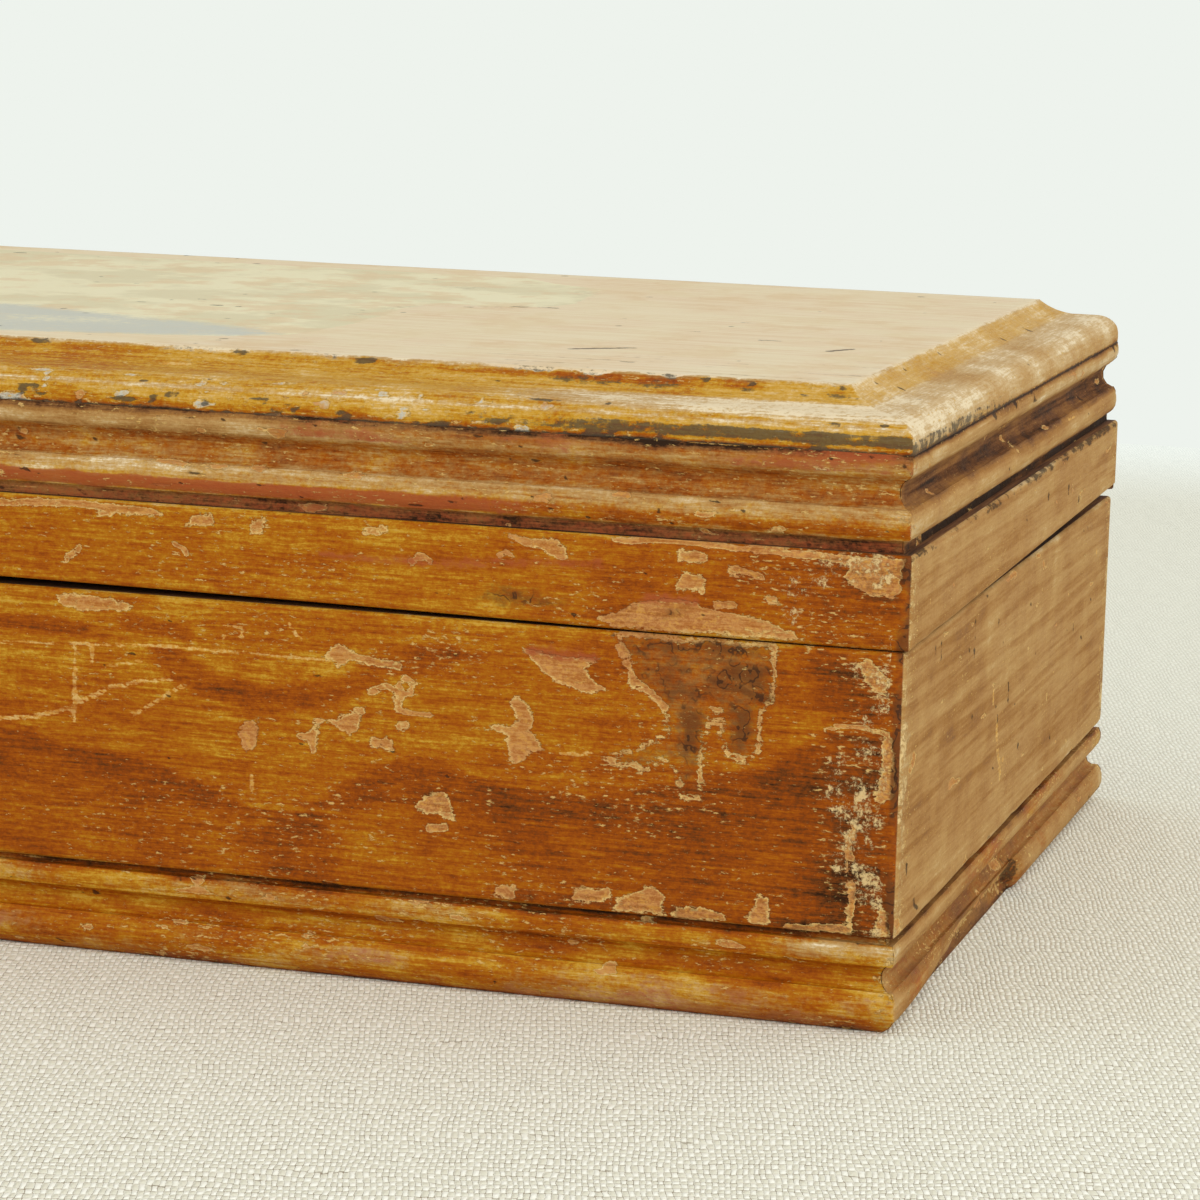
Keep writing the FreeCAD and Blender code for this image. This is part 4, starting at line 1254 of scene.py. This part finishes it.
def top_smudges(world, x, y, to_side):
    """Brown smudges round the patch's far edge, and the dark of the grain."""
    smudge = 0.55 * stroke(x, y, TOP_SMUDGE, 5) * layered_noise(world, (6, 6, 6), 73)
    grain = 0.5 * speckle(world, (18, 0.8, 1), 0.2, 74) * (0.4 + 0.6 * ease(x, 40, 90))
    grain = grain * (0.35 + 0.65 * fade(to_side, 14, 40) * (y < 0))
    return strongest(smudge, grain)


def top_masks(world):
    """Wear of the top board: bare pale flat with a faded patch, stained moulded edge."""
    x, y = world[..., X] - LID_SHIFT, world[..., Y]
    height = world[..., Z] - CORNICE_TOP
    to_end, to_side = HALF_X - np.abs(x), HALF_Y - np.abs(y)
    inset = np.minimum(to_end, to_side)
    is_long = to_side < to_end
    at_front = is_long & (y < 0)
    coarse = layered_noise(world, (16, 12, 8), 61)
    ragged = layered_noise(world, (4, 4, 2), 62)
    flat = ease(inset + (ragged - 0.5) * 2.4 * ease(x, 30, 90) * at_front, 9.5, 10.5)
    moulded = 1 - flat
    level = height + 0.8 * (ragged - 0.5) * moulded
    long_tone, end_tone = (banded(level, TOP_BANDS, kind) for kind in (LONG_TONE, END_TONE))
    tone = np.where(is_long, long_tone, end_tone - 0.02 * moulded)
    tone = tone + 0.25 * (coarse - 0.5) * moulded
    bare_end = 1 - 0.6 * ease(height, 4.0, 4.4) * moulded
    worn = np.where(is_long, banded(level, TOP_BANDS, BARENESS), bare_end)
    # Towards the right the nose is bleached along its top and sooty below, the cove brown.
    rightward = ease(x, 66, 104) * at_front
    bleached = rightward * hump(height, 3.0, 3.5, 4.1, 4.5)
    browned = ease(x, 50, 90) * at_front * ease(height, 4.9, 5.5) * moulded
    tone = tone + 0.16 * bleached - 0.32 * browned * ease(ragged, 0.25, 0.55)
    soot = top_soot(world, x, y, height, inset, at_front, moulded, ragged, rightward)
    specks = speckle(world, (2.6, 0.8, 1), 0.008, 66)
    smudges = top_smudges(world, x, y, to_side) * flat
    shift_u, shift_v = ragged_place(world, 2.0, (14, 14, 8), 67)
    cloudy = 0.35 + 0.9 * layered_noise(world, (11, 6, 6), 75)
    chip = speckle(world, (2.4, 1.4, 1.0), 0.13, 68) * moulded * at_front
    chip = chip * fade(height, 3.4, 4.0) * fade(x, 90, 100)
    above_joint = height > 2 * JOINT_MARGIN
    hollow = 0.06 * ease(layered_noise(world, (7, 7, 3), 71), 0.5, 0.85) * moulded
    return dict(
        dent=0.08 * ease(chip, 0.45, 0.6) * above_joint + hollow,
        tone=tone,
        worn=strongest(worn, 1.1 * bleached),
        crazed=0.5 * moulded,
        red=0.35 * ease(coarse, 0.5, 0.8) * fade(height, 2.0, 2.5) * above_joint,
        chip=chip,
        scratch=speckle(world, (12, 1.0, 1), 0.01, 69) * moulded,
        grime=strongest(soot, specks, lines(x, y, TOP_MARKS)),
        knot=strongest(smudges, 0.4 * spot(x, y, (47, 29), (4, 3))),
        flat=flat,
        patch=region(x + shift_u, y + shift_v, TOP_PATCH) * flat,
        band=region(x + shift_u, y + shift_v, TOP_GREY, 3.0) * flat * cloudy,
    )


# The box.
def hinge_mortises():
    """What the hinges' leaves take out of the back's body board and rim board."""
    clearance, relief, over = 0.1, 0.3, 0.5
    body_cuts, rim_cuts = [], []
    for hand in ("left", "right"):
        low, high = lowest(f"hinge_{hand}_body_leaf"), highest(f"hinge_{hand}_body_leaf")
        pin = (lowest(f"hinge_{hand}_pin") + highest(f"hinge_{hand}_pin")) / 2
        left, right, outer = low[X] - clearance, high[X] + clearance, HALF_Y + 2 * over
        knuckle = high[Y] - pin[Y] + relief
        for inner, reach in ((low[Y] - clearance, pin[Z] - low[Z]), (pin[Y] - knuckle, knuckle)):
            body_cuts.append(((left, inner, pin[Z] - reach), (right, outer, BODY_TOP + over)))
            rim_cuts.append(
                ((left, inner, RIM_BACK_BOTTOM - over), (right, outer, pin[Z] + reach))
            )
    return body_cuts, rim_cuts


def front_hollow(along):
    """How far the front rim board's lower edge is hollowed, along it."""
    half_span, rise = 102.0, 0.7
    return rise * np.clip(1 - (along / half_span) ** 2, 0, 1)


def end_taper(way):
    """How far an end rim board's lower edge rises towards the back, with its wear."""
    worn_away = 0.7
    rise = RIM_BACK_BOTTOM - RIM_BOTTOM + worn_away
    return lambda along: rise * (way * along + HALF_Y) / (2 * HALF_Y)


def inner_woods():
    """The woods of the inside and of the joints, by the way of their grain."""
    woods = {}
    for axis, word in ((X, "long"), (Y, "end")):
        inside = plain_wood(f"plain_wood_{word}", axis, INSIDE_TONE)
        woods[axis] = [inside, plain_wood(f"joint_wood_{word}", axis, JOINT_TONE)]
    return woods


def build_frames(woods):
    """The mitred frames with their wear, standing for their CAD nodes."""
    hollows = {"front": front_hollow, "right": end_taper(1), "back": None, "left": end_taper(-1)}
    body_cuts, rim_cuts = hinge_mortises()
    body_section = board_section(BODY_TOP - BODY_BOTTOM)
    for side, hollow in hollows.items():
        step = FRONT_STEP if side == "front" else SIDE_STEP
        rim_low = RIM_BACK_BOTTOM if side == "back" else RIM_BOTTOM
        rim_section = board_section(RIM_TOP - rim_low)
        if side in LONG_SIDES:
            axis, kind, slot = X, "board", "varnished_wood"
            aged = aged_wood(f"aged_wood_{side}", X)
        else:
            axis, kind, slot = Y, "end", "end_wood"
            aged = aged_wood(f"aged_wood_{side}", Y, END_RINGS, fibre=END_FIBRES)
        base = (0, BASE_SECTION, BASE_NOSE, moulding_masks)
        body = (BODY_BOTTOM, body_section, 0, board_masks)
        rim = (rim_low, rim_section, 0, board_masks)
        cornice = (RIM_TOP, CORNICE_SECTION, CORNICE_NOSE, moulding_masks)
        for name, form, node, rides, lifted, cuts in (
            ("base", base, f"base_moulding_{side}", "box", None, ()),
            ("body", body, f"body_{side}_{kind}", "box", None, body_cuts),
            ("rim", rim, f"lid_rim_{side}", "lid", hollow, rim_cuts),
            ("cornice", cornice, f"lid_cornice_{side}", "lid", None, ()),
        ):
            level, section, nose, masks = form
            shift = LID_SHIFT if rides == "lid" else 0
            piece = frame_side(
                f"{name}_{side}", side, level, section, nose, step, masks,
                [aged, *woods[axis]], shift, lifted,
            )
            if side == "back":
                carve(piece, cuts)
            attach(piece, rides)
            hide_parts(node)


def build_top(inside):
    """The lid's top board, standing for its CAD node."""
    face = aged_wood("aged_wood_top", X, faded=True)
    ends = aged_wood("aged_wood_top_end", Y, faded=True, fibre=END_FIBRES)
    top = top_board("top", [face, inside, ends])
    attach(top, "lid")
    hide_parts("lid_top_board")


def paint_nodes():
    """Materials for the pieces that keep their CAD meshes."""
    brass = old_metal("old_brass", *BRASS)
    iron = old_metal("old_iron", *IRON)
    bottom = plain_wood("bottom_wood", X, INSIDE_TONE)
    for name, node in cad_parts.items():
        if node.hide_render:
            continue
        if name == "bottom_board":
            material = bottom
        elif name.endswith("_leaf"):
            material = brass
        else:
            material = iron
        for slot in node.material_slots:
            slot.material = material


# The stage, light and camera, in metres and watts. The camera's turn is its yaw, pitch and
# roll in degrees.
CAMERA_PLACE = (0.22, -0.4792, 0.12075)
CAMERA_TURN = (16.735, -9.795, 1.3885)
SENSOR_WIDTH, LENS, CLIP_END = 36, 119.76, 50
FLOOR_SIDE, FLOOR_NEAR, FLOOR_FAR = 2.5, -1.6, 0.45
LAMP_PLACE, LAMP_TARGET = (1.3, -1.3, 0.9), (0, 0, 0.03)
LAMP_SIZE, LAMP_POWER = 1.2, 19
ROOM_COLOUR, ROOM_STRENGTH = (1.0, 0.99, 0.96, 1), 0.80
WALL_COLOUR = (0.855, 0.896, 0.847, 1)
LINEN = (0.98, 0.99, 0.89)
LINEN_MIDDLE = (0.8, 0.79, 0.65)
# The painted shade along the threads' sides and in the holes of the weave.
LINEN_WEAVE_SHADE = (0.34, 0.29, 0.21)
LINEN_FAR = (0.83, 0.84, 0.73)
# The colour of the far cloth's painted glow.
PAINTED_HAZE_GLOW = (0.6, 0.8, 1.0)
THREAD_CELLS = (0.62, 1.35, 10)


def linen():
    """Pale woven cloth with painted shade in its weave, fading far behind the box into a flat
    colour that glows with painted light.
    """
    cloth = Shader("stage_cloth")
    turn = CAMERA_TURN[0]
    slubs = cloth.noise((16, 1.6, 5), 1.0, 3, 0.6, turn=turn)
    lumps = cloth.noise((1.6, 1.6, 3), 3.0, 4, 0.7)
    threads = cloth.cells(THREAD_CELLS, turn)
    waves = []
    for axis, cell in (("X", (5, 12, 5)), ("Y", (12, 5, 5))):
        wander = cloth.span(cloth.noise(cell, 5.0, 1, 0.5, turn=turn), 0.3, 0.7, -0.4, 0.4)
        count = cloth.step("SeparateXYZ", axis, {0: threads}) + wander + lumps * 0.5
        waves.append(cloth.math("SINE", count * math.pi))
    warp, weft = waves
    crown = warp * weft
    # Painted shade of the weave: each thread is painted dark along its sides where it lies on
    # top, and threads lying one way are painted lighter than those lying the other.
    upper = cloth.span(crown, -0.1, 0.1)
    side = upper * abs(warp) + (1.0 - upper) * abs(weft)
    dark = cloth.span(side, 0.1, 0.65, 0.5, 0.0) + lumps
    colour = cloth.wash(LINEN_MIDDLE, LINEN, crown, -0.7, 0.8)
    colour = cloth.wash(colour, LINEN_WEAVE_SHADE, dark, 0.75, 1.1)
    colour = cloth.wash(colour, LINEN_MIDDLE, slubs, 0.5, 0.75, 0.5)
    away = cloth.step("SeparateXYZ", "Y", {0: cloth.place})
    inputs = {
        "Base Color": cloth.wash(colour, LINEN_FAR, away, -0.15, 0.3, 0.8),
        "Roughness": 0.95,
        "Specular IOR Level": 0.0,
        # The far cloth glows with painted light, as of a bright haze.
        "Emission Color": PAINTED_HAZE_GLOW,
        "Emission Strength": cloth.span(away, 0.34, 0.46, 0, 0.24),
    }
    return cloth.finish(inputs, lumps + abs(crown), 0.12)


def build_floor():
    """A pale cloth on the table."""
    floor = add_object("stage_floor", bpy.data.meshes.new("stage_floor"))
    near = [(-FLOOR_SIDE, FLOOR_NEAR, 0), (FLOOR_SIDE, FLOOR_NEAR, 0)]
    far = [(FLOOR_SIDE, FLOOR_FAR, 0), (-FLOOR_SIDE, FLOOR_FAR, 0)]
    floor.data.from_pydata(near + far, [], [(0, 1, 2, 3)])
    floor.data.materials.append(linen())


def build_room():
    """The light of a pale room, with a paler wall for the camera."""
    world = bpy.data.worlds.new("room")
    bpy.context.scene.world = world
    world.use_nodes = True
    tree = world.node_tree
    surround = tree.nodes["Background"]
    surround.inputs["Color"].default_value = ROOM_COLOUR
    surround.inputs["Strength"].default_value = ROOM_STRENGTH
    wall = tree.nodes.new("ShaderNodeBackground")
    wall.inputs["Color"].default_value = WALL_COLOUR
    path = tree.nodes.new("ShaderNodeLightPath")
    either = tree.nodes.new("ShaderNodeMixShader")
    tree.links.new(path.outputs["Is Camera Ray"], either.inputs["Fac"])
    tree.links.new(surround.outputs["Background"], either.inputs[1])
    tree.links.new(wall.outputs["Background"], either.inputs[2])
    tree.links.new(either.outputs["Shader"], tree.nodes["World Output"].inputs["Surface"])


def build_lamp():
    """A square area lamp to the front right, aimed at the box."""
    data = bpy.data.lights.new("key", "AREA")
    data.shape = "SQUARE"
    data.size = LAMP_SIZE
    data.energy = LAMP_POWER
    lamp = add_object("key", data)
    turn = (Vector(LAMP_PLACE) - Vector(LAMP_TARGET)).to_track_quat("Z", "Y")
    lamp.matrix_world = Matrix.Translation(LAMP_PLACE) @ turn.to_matrix().to_4x4()


def build_camera():
    """The camera that took the box's front right corner, turned and tilted."""
    data = bpy.data.cameras.new("camera")
    data.sensor_width = SENSOR_WIDTH
    data.lens = LENS
    data.clip_end = CLIP_END
    camera = add_object("camera", data)
    yaw, pitch, roll = (math.radians(angle) for angle in CAMERA_TURN)
    turn = Matrix.Rotation(yaw, 4, "Z") @ Matrix.Rotation(math.pi / 2 + pitch, 4, "X")
    turn = turn @ Matrix.Rotation(roll, 4, "Z")
    camera.matrix_world = Matrix.Translation(CAMERA_PLACE) @ turn
    bpy.context.scene.camera = camera


grained = inner_woods()
build_frames(grained)
build_top(grained[X][0])
paint_nodes()
build_floor()
build_room()
build_lamp()
build_camera()
bpy.context.scene.view_settings.view_transform = "Standard"
